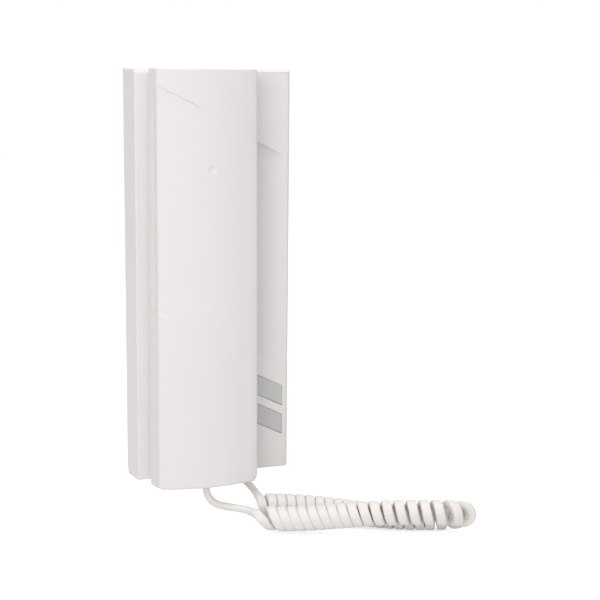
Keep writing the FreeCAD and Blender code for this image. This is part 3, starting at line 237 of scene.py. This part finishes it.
# tones are the lighter and the darker colour that a surface drifts between, grain the noise's fineness
finishes = {
    "shellPlastic": {"tones": ((0.837, 0.807, 0.799), (0.825, 0.795, 0.786)),
                     "rough": 0.5, "grain": 2600, "bump": 0.05, "gloss": 0.13},
    "platePlastic": {"tones": ((0.837, 0.807, 0.799), (0.825, 0.795, 0.786)),
                     "rough": 0.5, "grain": 2200, "bump": 0.06, "gloss": 0.13},
    "greenGreyKey": {"tones": ((0.585, 0.590, 0.570), (0.545, 0.550, 0.535)),
                     "rough": 0.45, "grain": 3200, "bump": 0.08},
    "roseGreyKey": {"tones": ((0.590, 0.575, 0.565), (0.550, 0.535, 0.530)),
                    "rough": 0.45, "grain": 3200, "bump": 0.08},
    "cordJacket": {"tones": ((0.835, 0.800, 0.775), (0.815, 0.780, 0.750)),
                   "rough": 0.5, "grain": 1800, "bump": 0.04, "gloss": 0.3},
    "boardLacquer": {"tones": ((0.10, 0.22, 0.09), (0.07, 0.16, 0.06)),
                     "rough": 0.4, "grain": 500, "bump": 0.1},
    "zincSteel": {"tones": ((0.62, 0.61, 0.59), (0.52, 0.51, 0.49)),
                  "rough": 0.32, "grain": 1500, "bump": 0.05, "metallic": 1.0},
    "terminalNylon": {"tones": ((0.12, 0.12, 0.16), (0.09, 0.22, 0.12)), "rough": 0.5, "grain": 1200},
    "blackPlastic": {"tones": ((0.035, 0.034, 0.033), (0.022, 0.022, 0.021)), "rough": 0.4, "grain": 1200},
    "leverAcetal": {"tones": ((0.55, 0.54, 0.52), (0.48, 0.47, 0.45)), "rough": 0.4, "grain": 1200},
    "earFoam": {"tones": ((0.09, 0.09, 0.09), (0.05, 0.05, 0.05)),
                "rough": 0.9, "grain": 2600, "bump": 0.6},
    "capsuleTin": {"tones": ((0.30, 0.30, 0.31), (0.22, 0.22, 0.23)),
                   "rough": 0.35, "grain": 900, "metallic": 0.8},
}

finishOn = {
    "shellPlastic": ("base_cover", "handset_back", "handset_front"),
    "platePlastic": ("wall_plate",),
    "greenGreyKey": ("door_button",),
    "roseGreyKey": ("light_button",),
    "cordJacket": ("base_cord_grommet", "handset_cord_grommet", "cord_base_tail", "cord_coil",
                   "cord_handset_tail"),
    "boardLacquer": ("circuit_board",),
    "zincSteel": ("board_screws", "hook_lever_pin", "terminal_screws", "cover_screw", "handset_screws"),
    "terminalNylon": ("terminal_block",),
    "blackPlastic": ("door_switch", "light_switch", "hook_switch", "ringer", "microphone_boot"),
    "leverAcetal": ("door_switch_plunger", "light_switch_plunger", "hook_lever"),
    "earFoam": ("earpiece_gasket",),
    "capsuleTin": ("earpiece_capsule", "microphone_capsule"),
}


def newMaterial(name):
    material = bpy.data.materials.new(name)
    material.use_nodes = True
    return material, material.node_tree, material.node_tree.nodes["Principled BSDF"]


def addNode(tree, kind, **values):
    node = tree.nodes.new("ShaderNode" + kind)
    for socket, value in values.items():
        node.inputs[socket].default_value = value
    return node


# a finish whose colour drifts between two near tones and whose surface has a fine grain
def finish(name, tones, rough, grain, bump=0.02, gloss=0.5, metallic=0.0):
    g = grainRules
    material, tree, surface = newMaterial(name)
    link = tree.links.new
    place = addNode(tree, "TexCoord").outputs["Object"]
    drift = addNode(tree, "TexNoise", Scale=g["driftScale"], Detail=g["driftDetail"])
    link(place, drift.inputs["Vector"])
    ramp = addNode(tree, "ValToRGB")
    darker, lighter = ramp.color_ramp.elements
    darker.position, lighter.position = g["driftFrom"], g["driftTo"]
    lighter.color, darker.color = ((*tone, 1) for tone in tones)
    link(drift.outputs["Fac"], ramp.inputs["Fac"])
    link(ramp.outputs["Color"], surface.inputs["Base Color"])
    fine = addNode(tree, "TexNoise", Scale=grain, Detail=g["grainDetail"])
    link(place, fine.inputs["Vector"])
    raised = addNode(tree, "Bump", Strength=bump, Distance=g["grainDeep"])
    link(fine.outputs["Fac"], raised.inputs["Height"])
    link(raised.outputs["Normal"], surface.inputs["Normal"])
    spread = addNode(tree, "MapRange")
    spread.inputs["To Min"].default_value = rough - g["roughDrift"]
    spread.inputs["To Max"].default_value = rough + g["roughDrift"]
    link(fine.outputs["Fac"], spread.inputs["Value"])
    link(spread.outputs["Result"], surface.inputs["Roughness"])
    surface.inputs["Specular IOR Level"].default_value = gloss
    surface.inputs["Metallic"].default_value = metallic
    return material


def dress(piece, material):
    piece.data.materials.clear()
    piece.data.materials.append(material)


materials = {name: finish(name, **values) for name, values in finishes.items()}
for name, dressedNodes in finishOn.items():
    for node in dressedNodes:
        dress(nodes[node], materials[name])
print("finishes made and put on", sum(len(dressedNodes) for dressedNodes in finishOn.values()), "nodes")


# handset: front shell with the arched crown, the waist between its two slanted lines and a dimple

shellLowest, shellHighest = cornersOf("handset_front")
handset = {
    "left": shellLowest[0], "right": shellHighest[0], "low": shellLowest[2], "top": shellHighest[2],
    "back": shellHighest[1],
    "edge": -40.8, "crown": 5.35,               # the front's long edges, and its rise between them
    "wall": 2.2, "parting": 0.35, "columns": 44,
    "frontRound": 1.3, "topRound": 0.5,
    "cornerLeft": 1.45, "cornerLeftSteps": 3, "cornerRight": 3.2, "cornerRightSteps": 6,
    "flare": 0.9, "flareAcross": 6,             # the right side, wider towards the low end
    "bulge": 1.1, "bulgeFrom": -70, "bulgeAcross": 4, "rear": -23.5,
    "chinFrom": -38, "chinSlope": 0.15, "chinTall": 4, "chinBlend": 3.5,
    "hollowFront": 0.55, "hollowFlatter": 0.5, "pastBack": 1,   # the front shell's inner side
    "facesFront": 0.5, "facesAway": 0.1,        # how far a face's normal turns, for edges round the front
    "bush": (-9.15, -36.6), "bushWide": 7.1, "bushBelow": 3, "bushAbove": 5, "boreSteps": 48,
}
waist = {
    "slope": 0.488, "upper": 99.4, "lower": -15.0,      # the slanted lines, at the handset's left side
    "deep": 0.45, "aside": 10, "over": 0.03,            # the curve that is added to the crown's own
    "side": 0.3, "sidePast": 5,                         # the left side is set in between the lines
    "endDeep": 1.5,                                     # rims no higher than this get slanted ends
    "toolPast": 2.5, "toolEnd": 150, "toolFront": -60, "toolColumns": 48,   # cutters pass the handset
    "band": (-70, -30), "bandPast": 6,
}
dimple = {"across": -8.15, "high": 57.6, "wide": 5.0, "deep": 0.6, "steps": 48}


def archRadius(half, rise):
    return (half ** 2 + rise ** 2) / (2 * rise)


# a block whose face at edge is drawn out into an arch
def archedBlock(name, left, right, low, top, back, edge, rise, columns):
    piece = block(name, (left, right), (min(edge, back), max(edge, back)), (low, top))
    half, mid = (right - left) / 2, (left + right) / 2
    radius = archRadius(half, rise)
    edit(piece)
    # the columns next to the sides are left wide, so that the rounded edges fit in them
    places = [left + (right - left) * i / columns for i in range(2, columns - 1)]
    for place in places:
        cutAcross((place, 0, 0), (1, 0, 0))
    for place in places:
        out = math.sqrt(radius ** 2 - (place - mid) ** 2) - (radius - rise)
        pickVertices(piece, lambda at: same(at.x, place) and same(at.y, edge))
        slide(y=-out)
    editDone()
    return piece


# a block whose top and bottom fall to the right as the lines on the front do; z is at its left
def slantedBlock(name, x, y, z):
    starts = (-1, 1)
    piece = block(name, x, y, starts)
    edit(piece)
    for place in x:
        fall = waist["slope"] * (place - x[0])
        for start, line in zip(starts, z):
            pickVertices(piece, lambda at: same(at.x, place) and same(at.z, start))
            slide(z=line - fall - start)
    editDone()
    return piece


# rounds one of the two corners at the handset's low end, seen from the front
def roundCorner(piece, side, radius, steps):
    edit(piece)
    pickEdges(piece, lambda at, edge: at.z < handset["low"] + shaping["close"] and same(at.x, side)
              and runsBack(edge))
    bpy.ops.mesh.bevel(offset=radius * mm, segments=steps, affect="EDGES")
    editDone()


# how the handset's low end widens to the right, and bulges down and to the left at its back
def chinShift(at):
    h = handset
    lower = max(0, h["bulgeFrom"] - at.z) / (h["bulgeFrom"] - h["low"])
    deep = max(0, at.y - h["edge"]) / (h["rear"] - h["edge"])
    under = min(1, max(0, h["low"] + h["chinTall"] - at.z) / h["chinBlend"])
    across = 0
    if at.x > h["right"] - h["flareAcross"]:
        across = h["flare"] * (h["top"] - at.z) / (h["top"] - h["low"])
    elif at.x < h["left"] + h["bulgeAcross"]:
        across = -h["bulge"] * lower * deep
    return across, 0, -h["chinSlope"] * max(0, at.y - h["chinFrom"]) * under


# the waist's floor: where its curve comes foremost, across and in depth, and its radius
def waistArc():
    h, w = handset, waist
    half, mid = (h["right"] - h["left"]) / 2, (h["left"] + h["right"]) / 2
    # a second curve is added to the crown's own; it touches the crown right of the middle
    own, added = 1 / archRadius(half, h["crown"]), 2 * w["deep"] / half ** 2
    aside = w["aside"] * added / (own + added)
    foremost = h["edge"] - h["crown"]
    peak = foremost + aside ** 2 * own / 2 + (w["aside"] - aside) ** 2 * added / 2 - w["over"]
    return mid + aside, peak, 1 / (own + added)


# the waist's rims stand as far from its floor's ends as they stand over the floor
def waistEnd(at):
    w = waist
    centre, peak, radius = waistArc()
    deep = peak + radius - math.sqrt(max(radius ** 2 - (at.x - centre) ** 2, 0)) - at.y
    if shaping["close"] < deep < w["endDeep"]:
        for line, way in (("lower", -1), ("upper", 1)):
            if same(at.z, w[line] - w["slope"] * (at.x - handset["left"]), 2 * shaping["close"]):
                return 0, 0, way * deep
    return 0, 0, 0


# where the two slanted lines are at a place left of the handset
def linesLeftBy(past):
    return [waist[line] + past * waist["slope"] for line in ("lower", "upper")]


# what is taken off the crown between the two slanted lines
def waistTool():
    h, w = handset, waist
    centre, peak, radius = waistArc()
    over = (h["right"] - h["left"]) / 2 + w["toolPast"]
    rise = radius - math.sqrt(radius ** 2 - over ** 2)
    tool = archedBlock("waistTool", centre - over, centre + over, -w["toolEnd"], w["toolEnd"],
                       w["toolFront"], peak + rise, rise, w["toolColumns"])
    past = w["bandPast"]
    band = slantedBlock("bandTool", (h["left"] - past, h["right"] + past), w["band"], linesLeftBy(past))
    carve(tool, band, "INTERSECT")
    return tool


def sideTool():
    h, past = handset, waist["sidePast"]
    return slantedBlock("sideTool", (h["left"] - past, h["left"] + waist["side"]),
                        (waist["toolFront"], h["back"] + h["pastBack"]), linesLeftBy(past))


def dimpleTool():
    h, d = handset, dimple
    radius = (d["wide"] ** 2 / 4 + d["deep"] ** 2) / (2 * d["deep"])
    front = h["edge"] - h["crown"] - radius + d["deep"]
    freshSelection()
    bpy.ops.mesh.primitive_uv_sphere_add(segments=d["steps"], ring_count=2 * d["steps"],
                                         radius=radius * mm, location=(0, 0, 0))
    ball = bpy.context.object
    edit(ball)
    selectWhole()
    bpy.ops.transform.rotate(value=math.pi / 2, orient_axis="X", center_override=(0, 0, 0))
    slide(d["across"], front, d["high"])
    editDone()
    return ball


# the upright bore for the cord's bush
def bushTool():
    h = handset
    x, y = h["bush"]
    bottom, top = h["low"] - h["bushBelow"], h["low"] + h["bushAbove"]
    freshSelection()
    bpy.ops.mesh.primitive_cylinder_add(vertices=h["boreSteps"], radius=h["bushWide"] / 2 * mm,
                                        depth=(top - bottom) * mm, location=(0, 0, 0))
    tool = bpy.context.object
    edit(tool)
    selectWhole()
    slide(x, y, (bottom + top) / 2)
    editDone()
    return tool


def handsetFront():
    h = handset
    wall, close = h["wall"], shaping["close"]
    front = archedBlock("handsetFront", h["left"], h["right"], h["low"], h["top"], h["back"], h["edge"],
                        h["crown"], h["columns"])
    edit(front)
    cutAcross((0, h["chinFrom"], 0), (0, 1, 0))
    roundCorner(front, h["left"], h["cornerLeft"], h["cornerLeftSteps"])
    roundCorner(front, h["right"], h["cornerRight"], h["cornerRightSteps"])

    def roundFront(at, edge):
        facing = sorted(face.normal.y for face in edge.link_faces)
        return facing[0] < -h["facesFront"] and facing[1] > -h["facesAway"]

    def onTop(at, edge):
        return roundFront(at, edge) and at.z > h["top"] - close

    def onBack(at, edge):
        return same(at.y, h["back"]) and at.z < h["top"] - close

    roundBySize(front, [(h["topRound"], onTop), (h["frontRound"], roundFront), (h["parting"], onBack)])
    carve(front, waistTool())
    moved(front, waistEnd)
    carve(front, sideTool())
    carve(front, dimpleTool())
    hollow = archedBlock("hollowTool", h["left"] + wall, h["right"] - wall, h["low"] + wall,
                         h["top"] - wall, h["back"] + h["pastBack"], h["edge"] + h["hollowFront"],
                         h["crown"] - h["hollowFlatter"], h["columns"])
    carve(front, hollow)
    carve(front, bushTool())
    moved(front, chinShift)
    smoothed(front)
    dress(front, materials["shellPlastic"])
    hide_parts("handset_front")
    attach(front, "handset")


handsetFront()
print("handset front done")


# the handset's back, the cover and the wall plate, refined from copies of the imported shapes

shells = {
    "merge": 3e-6, "flatUnder": 0.4, "edge": 0.2, "edgeSteps": 2, "sharpOver": 50, "smoothUnder": 35,
}
foot = {"low": cornersOf("base_cover")[0][2], "from": -22.0, "slope": 0.1, "tall": 3, "blend": 2.5}


# the base's bottom falls a little towards the wall
def footShift(at):
    f = foot
    under = min(1, max(0, f["low"] + f["tall"] - at.z) / f["blend"])
    return 0, 0, -f["slope"] * max(0, at.y - f["from"]) * under


# a merged copy of a node with its small edges eased, shown in the node's stead
def refined(node, name, body, material, shift):
    s = shells
    piece = nodes[node].copy()
    piece.data = nodes[node].data.copy()
    piece.name = piece.data.name = name
    for key in [key for key in piece.keys() if key.startswith("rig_")]:
        del piece[key]
    piece.parent = None
    bpy.context.scene.collection.objects.link(piece)
    edit(piece)
    selectWhole()
    bpy.ops.mesh.remove_doubles(threshold=s["merge"])
    bpy.ops.mesh.dissolve_limited(angle_limit=math.radians(s["flatUnder"]))
    editDone()
    moved(piece, shift)
    applied(piece, "BEVEL", limit_method="ANGLE", angle_limit=math.radians(s["sharpOver"]),
            width=s["edge"] * mm, segments=s["edgeSteps"], use_clamp_overlap=True)
    shadeSmooth(piece, s["smoothUnder"])
    evenNormals(piece)
    dress(piece, material)
    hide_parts(node)
    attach(piece, body)


refined("handset_back", "handsetBack", "handset", materials["shellPlastic"], chinShift)
refined("base_cover", "baseCover", "base", materials["shellPlastic"], footShift)
refined("wall_plate", "wallPlate", "base", materials["platePlastic"], footShift)
print("handset back, cover and wall plate done")


# the two keys: an eased cap, the flange behind the cover's front, and the stem to the switch

keys = {
    "high": 10.4, "grown": 0.18, "corner": 0.45, "ease": 0.3,
    "flange": 0.8, "flangeFront": -20.7, "flangeBack": -19.7,
    "capIn": 0.4, "stemIn": 0.5, "stemWide": 4.0,       # how far cap and stem reach into the flange
}
eachKey = {
    "doorKey": {"node": "door_button", "body": "door_key", "finish": "greenGreyKey", "turned": 0.55},
    "lightKey": {"node": "light_button", "body": "light_key", "finish": "roseGreyKey", "turned": 0.2},
}


def keyPiece(name, own):
    k = keys
    lowest, highest = cornersOf(own["node"])
    front, stemEnd = lowest[1], highest[1]
    # the node's box goes round its flange
    left, right = lowest[0] + k["flange"], highest[0] - k["flange"]
    top = highest[2] - k["flange"] * (1 + waist["slope"])

    # the cap's slanted outline, larger by more all round
    def outline(more):
        fall = waist["slope"] * more
        return (left - more, right + more), (top - k["high"] - more + fall, top + more + fall)

    across, up = outline(k["grown"])
    key = slantedBlock(name, across, (front, k["flangeBack"] - k["capIn"]), up)
    roundBySize(key, [
        (k["corner"], lambda at, edge: runsBack(edge)),
        (k["ease"], lambda at, edge: same(at.y, front)),
    ])
    x, z = (left + right) / 2, top - k["high"] / 2 - waist["slope"] * (right - left) / 2
    edit(key)
    selectWhole()
    bpy.ops.transform.rotate(value=math.radians(own["turned"]), orient_axis="Y",
                             center_override=(x * mm, front * mm, z * mm))
    across, up = outline(k["flange"])
    carve(key, slantedBlock("flange", across, (k["flangeFront"], k["flangeBack"]), up), "UNION")
    half = k["stemWide"] / 2
    depth = k["flangeBack"] - k["stemIn"], stemEnd
    carve(key, block("stem", (x - half, x + half), depth, (z - half, z + half)), "UNION")
    smoothed(key)
    dress(key, materials[own["finish"]])
    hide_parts(own["node"])
    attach(key, own["body"])


for name, own in eachKey.items():
    keyPiece(name, own)
print("keys done")


# curly cord: one tube from the handset's bush to the base's bush

cord = {
    "wide": 4.4, "core": 2.6, "gap": 0.8, "turns": 39, "perTurn": 16,
    "axisSteps": 1200, "axisFineness": 60, "tubeFineness": 3,
    "bendOver": 3, "bendLeast": 2.5, "tight": 0.6, "evenOver": 22,          # spacing where the axis bends
    "startLoose": 18, "startOver": 16, "endLoose": 4, "endOver": 9, "fade": 3,      # and at both ends
    "spread": 1.45, "spreadFrom": 48, "spreadTo": 112,                      # and in the front run
    "startRing": 0.6, "startRingOver": 8, "lean": 0.5, "leanOver": 70,      # the first curls
    "tail": 3.9, "bandWide": 5.0, "bandThick": 3.95, "square": 0.45, "around": 20, "blendOver": 16,
    "smoothUnder": 40, "tiny": 1e-6,        # tiny keeps a division from being by nothing
    "handsetExit": (-9.15, -36.6, -109.8), "baseExit": (17, -13.5, -108.8),
    "stretchTo": (24, 12, -6),              # from the handset's exit to where the cord stays with the base
}
coilAxis = [
    (13.8, -51.4, -125.9), (26, -57.5, -125.9), (41, -65, -124.9), (56, -72, -123), (70, -79, -121),
    (84, -86.5, -119.8), (98, -93.5, -119.2), (108, -96.85, -119.5), (115.8, -93.5, -122),
    (117.1, -85.5, -125.6), (112, -79.8, -127.5), (103, -77.5, -127.6), (90, -72.5, -127.6),
    (77, -64.5, -127.3), (63.3, -55, -126.6), (48.2, -46.6, -125.4), (33.5, -41, -124.4),
    (20.3, -37.6, -124.2),
]
tailOut = [(-9.15, -36.6, -113.3), (-8.1, -37, -116.2), (-6.1, -37.8, -119), (-3, -38.8, -120.9),
           (0.8, -40.5, -121.6), (5.2, -43.8, -121.9), (9.3, -47.2, -122.2)]
tailBack = [(22, -30, -120.7), (21.6, -24.5, -118.4), (19.6, -19, -116.2), (17, -13.5, -112.5)]


# the points of a smooth line that follows the route
def splineTrace(name, route, fineness):
    line = bpy.data.curves.new(name, "CURVE")
    line.dimensions = "3D"
    line.resolution_u = fineness
    spline = line.splines.new("NURBS")
    spline.points.add(len(route) - 1)
    for point, place in zip(spline.points, route):
        point.co = (*(Vector(place) * mm), 1)
    spline.order_u = 3
    spline.use_endpoint_u = True
    holder = bpy.data.objects.new(name, line)
    bpy.context.scene.collection.objects.link(holder)
    mesh = bpy.data.meshes.new_from_object(holder)
    trace = [vertex.co / mm for vertex in mesh.vertices]
    bpy.data.meshes.remove(mesh)
    bpy.data.objects.remove(holder)
    return trace


# how far along the trace each of its points is
def distances(trace):
    run = [0.0]
    for before, after in zip(trace, trace[1:]):
        run.append(run[-1] + (after - before).length)
    return run


def headings(trace):
    last = len(trace) - 1
    return [(trace[min(i + 1, last)] - trace[max(i - 1, 0)]).normalized() for i in range(last + 1)]


# points at equal distances along a trace, and the distance between two of them
def evenly(trace, count):
    run = distances(trace)
    points, place = [], 0
    for i in range(count + 1):
        wanted = run[-1] * i / count
        while place < len(run) - 2 and run[place + 1] < wanted:
            place += 1
        part = (wanted - run[place]) / max(run[place + 1] - run[place], cord["tiny"])
        points.append(trace[place].lerp(trace[place + 1], min(part, 1)))
    return points, run[-1] / count


# from 1 at no distance down to 0
def fading(distance, over):
    return max(0, 1 - distance / over)


# how far the curls have turned at each point of the axis; they stand wider where the axis bends
def curlAngles(heading, step):
    c = cord
    count = len(heading) - 1
    ring, closed = c["core"] + c["wide"] / 2, c["wide"] + c["gap"]
    bent = []
    for i in range(count + 1):
        a, b = max(i - c["bendOver"], 0), min(i + c["bendOver"], count)
        radius = (b - a) * step / max(heading[a].angle(heading[b]), c["tiny"])
        bent.append(closed / max(1 - ring / max(radius, ring + c["bendLeast"]), c["tight"]))
    angle = [0.0]
    for i in range(count):
        around = bent[max(0, i - c["evenOver"]):i + c["evenOver"] + 1]
        at = i * step
        loose = c["startLoose"] * fading(at, c["startOver"]) ** c["fade"]
        part = (at - c["spreadFrom"]) / (c["spreadTo"] - c["spreadFrom"])
        if 0 < part < 1:
            loose += c["spread"] * math.sin(math.pi * part)
        loose += c["endLoose"] * fading((count - i) * step, c["endOver"]) ** c["fade"]
        angle.append(angle[-1] + 2 * math.pi * step / (max(closed, sum(around) / len(around)) + loose))
    print("curls before rounding", round(angle[-1] / (2 * math.pi), 2))
    rounded = c["turns"] * 2 * math.pi / angle[-1]
    return [value * rounded for value in angle]


# points of the curls, by the same rule as the part's own coil, and the axis that they go round
def coilPoints():
    c = cord
    ring, count = c["core"] + c["wide"] / 2, c["axisSteps"]
    axis, step = evenly(splineTrace("coilGuide", coilAxis, c["axisFineness"]), count)
    heading = headings(axis)
    angle = curlAngles(heading, step)
    points, place = [], 0
    for i in range(c["turns"] * c["perTurn"] + 1):
        turned = 2 * math.pi * i / c["perTurn"]
        while place < count - 1 and angle[place + 1] < turned:
            place += 1
        part = min((turned - angle[place]) / (angle[place + 1] - angle[place]), 1)
        centre = axis[place].lerp(axis[place + 1], part)
        along = heading[place].lerp(heading[place + 1], part).normalized()
        front = along.cross(Vector((0, 0, 1))).normalized()
        rise = front.cross(along)
        # the first curls lean, top back and bottom forward along the coil, and the very first is narrower
        lean = c["lean"] * fading(place * step, c["leanOver"])
        wide = ring * min(1, c["startRing"] + (1 - c["startRing"]) * place * step / c["startRingOver"])
        upright = rise - along * lean
        points.append(centre + upright * wide * math.cos(turned) + front * wide * math.sin(turned))
    return points, axis


# for each point of the trace the way out of the coil, carried along the tails without a twist
def outwards(trace, heading, axis, first, last):
    out, near = [None] * len(trace), 0
    for i in range(first, last + 1):
        here = trace[i]
        while near < len(axis) - 1 and (axis[near + 1] - here).length <= (axis[near] - here).length:
            near += 1
        out[i] = here - axis[near]
    for i in [*range(first - 1, -1, -1), *range(last + 1, len(trace))]:
        out[i] = out[i + 1] if i < first else out[i - 1]
        out[i] = (out[i] - heading[i] * out[i].dot(heading[i])).normalized()
    for i in range(first, last + 1):
        out[i] = (out[i] - heading[i] * out[i].dot(heading[i])).normalized()
    return out


# from 0 to 1 with soft ends
def eased(part):
    part = min(max(part, 0), 1)
    return part * part * (3 - 2 * part)


def squarer(value, power):
    return math.copysign(abs(value) ** power, value)


# the jacket: round in the tails, a thick flat band that faces outwards in the curls
def ribbonTube(name, trace, run, axis, first, last):
    c = cord
    heading = headings(trace)
    out = outwards(trace, heading, axis, first, last)
    mesh = bmesh.new()
    rings = []
    for i, place in enumerate(trace):
        part = eased(min(run[i] - run[first], run[last] - run[i]) / c["blendOver"] + 0.5)
        wide = (c["tail"] + (c["bandWide"] - c["tail"]) * part) / 2
        thick = (c["tail"] + (c["bandThick"] - c["tail"]) * part) / 2
        power = 1 + (c["square"] - 1) * part
        side = heading[i].cross(out[i])
        ring = []
        for k in range(c["around"]):
            turned = 2 * math.pi * k / c["around"]
            x = squarer(math.cos(turned), power) * wide
            y = squarer(math.sin(turned), power) * thick
            ring.append(mesh.verts.new((place + side * x + out[i] * y) * mm))
        rings.append(ring)
    for before, after in zip(rings, rings[1:]):
        for k in range(c["around"]):
            follow = (k + 1) % c["around"]
            mesh.faces.new((before[k], before[follow], after[follow], after[k]))
    mesh.faces.new(reversed(rings[0]))
    mesh.faces.new(rings[-1])
    bmesh.ops.recalc_face_normals(mesh, faces=mesh.faces)
    data = bpy.data.meshes.new(name)
    mesh.to_mesh(data)
    mesh.free()
    tube = bpy.data.objects.new(name, data)
    bpy.context.scene.collection.objects.link(tube)
    return tube


def curlyCord():
    c = cord
    curls, axis = coilPoints()
    # the coil's first and last curl go on straight for a little before the tails bend
    start = curls[0] - (curls[1] - curls[0]).normalized() * c["wide"]
    end = curls[-1] + (curls[-1] - curls[-2]).normalized() * c["wide"]
    places = [c["handsetExit"], *tailOut, start, *curls, end, *tailBack, c["baseExit"]]
    route = [Vector(place) for place in places]
    trace = splineTrace("cordRoute", route, c["tubeFineness"])
    run = distances(trace)
    first, last = (min(range(len(trace)), key=lambda i: (trace[i] - place).length)
                   for place in (curls[0], curls[-1]))
    tube = ribbonTube("curlyCord", trace, run, axis, first, last)
    shadeSmooth(tube, c["smoothUnder"])
    dress(tube, materials["cordJacket"])
    held = Vector(c["handsetExit"])
    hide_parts("cord_handset_tail", "cord_coil", "cord_base_tail")
    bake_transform(tube, "handset", "base", held * mm, (held + Vector(c["stretchTo"])) * mm)


curlyCord()
print("cord done")


# floor, light and camera

room = {
    "floor": -134.3, "floorWide": 6, "floorTone": 0.82, "floorRough": 0.9, "lift": 0.62, "world": 0.45,
    "lampShare": 2 / 3,     # a lamp's width, as a share of its distance
    # turn to the left and height in degrees, distance in metres, power in watts
    "lamps": {
        "keyLight": (41, 21, 1.5, 6.4), "frontFill": (20, 14, 1.5, 1.2), "rightFill": (-30, 15, 1.5, 1.3),
        "highFill": (28, 52, 0.6, 0.15), "topLight": (0, 85, 1.5, 10.2),
    },
}


# 1 for the rays that show the background: from the camera, off gloss and through glass
def backgroundRays(tree):
    rays = addNode(tree, "LightPath")
    shown = rays.outputs["Is Camera Ray"]
    for kind in ("Is Glossy Ray", "Is Transmission Ray"):
        either = addNode(tree, "Math")
        either.operation = "MAXIMUM"
        tree.links.new(shown, either.inputs[0])
        tree.links.new(rays.outputs[kind], either.inputs[1])
        shown = either.outputs[0]
    return shown


def background():
    world = bpy.data.worlds.new("studio")
    bpy.context.scene.world = world
    world.use_nodes = True
    tree = world.node_tree
    light = tree.nodes["Background"]
    light.inputs["Color"].default_value = (1, 1, 1, 1)
    light.inputs["Strength"].default_value = room["world"]
    white = addNode(tree, "Background", Color=(1, 1, 1, 1), Strength=1)
    mixed = addNode(tree, "MixShader")
    tree.links.new(backgroundRays(tree), mixed.inputs["Fac"])
    tree.links.new(light.outputs[0], mixed.inputs[1])
    tree.links.new(white.outputs[0], mixed.inputs[2])
    tree.links.new(mixed.outputs[0], tree.nodes["World Output"].inputs["Surface"])


# a plain floor that is lifted towards white for the camera and keeps the phone's shadow
def paleFloor():
    freshSelection()
    bpy.ops.mesh.primitive_plane_add(size=room["floorWide"], location=(0, 0, room["floor"] * mm))
    floor = bpy.context.object
    floor.name = "studioFloor"
    material, tree, surface = newMaterial("paleFloor")
    tone = room["floorTone"]
    surface.inputs["Base Color"].default_value = (tone, tone, tone, 1)
    surface.inputs["Roughness"].default_value = room["floorRough"]
    surface.inputs["Specular IOR Level"].default_value = 0
    lift = addNode(tree, "Math")
    lift.operation = "MULTIPLY"
    lift.inputs[1].default_value = room["lift"]
    glow = addNode(tree, "Emission")
    both = addNode(tree, "AddShader")
    tree.links.new(backgroundRays(tree), lift.inputs[0])
    tree.links.new(lift.outputs[0], glow.inputs["Strength"])
    tree.links.new(surface.outputs[0], both.inputs[0])
    tree.links.new(glow.outputs[0], both.inputs[1])
    tree.links.new(both.outputs[0], tree.nodes["Material Output"].inputs["Surface"])
    dress(floor, material)


# a round lamp that looks at the phone
def softLight(name, turn, rise, far, power):
    lamp = bpy.data.lights.new(name, "AREA")
    lamp.shape = "DISK"
    lamp.size = far * room["lampShare"]
    lamp.energy = power
    holder = bpy.data.objects.new(name, lamp)
    bpy.context.scene.collection.objects.link(holder)
    a, e = math.radians(turn), math.radians(rise)
    toward = Vector((-math.sin(a) * math.cos(e), -math.cos(a) * math.cos(e), math.sin(e)))
    holder.location = toward * far
    holder.rotation_euler = (-toward).to_track_quat("-Z", "Y").to_euler()


# place in millimetres, angles in degrees, focal length in pixels of the square picture
view = {
    "place": (-222.785, -722.287, 109.241), "turn": 21.217, "down": 9.444, "roll": 0.505, "focal": 1399.26,
    "picture": 600, "sensor": 36,
    "nearest": 0.01, "farthest": 20,        # metres
}


def camera():
    data = bpy.data.cameras.new("photoCamera")
    data.sensor_width = view["sensor"]
    data.lens = view["focal"] * view["sensor"] / view["picture"]
    data.clip_start = view["nearest"]
    data.clip_end = view["farthest"]
    holder = bpy.data.objects.new("photoCamera", data)
    bpy.context.scene.collection.objects.link(holder)
    a, p, r = (math.radians(view[key]) for key in ("turn", "down", "roll"))
    ahead = Vector((math.sin(a) * math.cos(p), math.cos(a) * math.cos(p), -math.sin(p)))
    right = Vector((math.cos(a), -math.sin(a), 0))
    up = right.cross(ahead)
    right, up = right * math.cos(r) + up * math.sin(r), up * math.cos(r) - right * math.sin(r)
    facing = Matrix((right, up, -ahead)).transposed().to_4x4()
    holder.matrix_world = Matrix.Translation(Vector(view["place"]) * mm) @ facing
    bpy.context.scene.camera = holder


background()
paleFloor()
for name, (turn, rise, far, power) in room["lamps"].items():
    softLight(name, turn, rise, far, power)
camera()
bpy.context.scene.view_settings.view_transform = "Standard"
print("room and camera done")
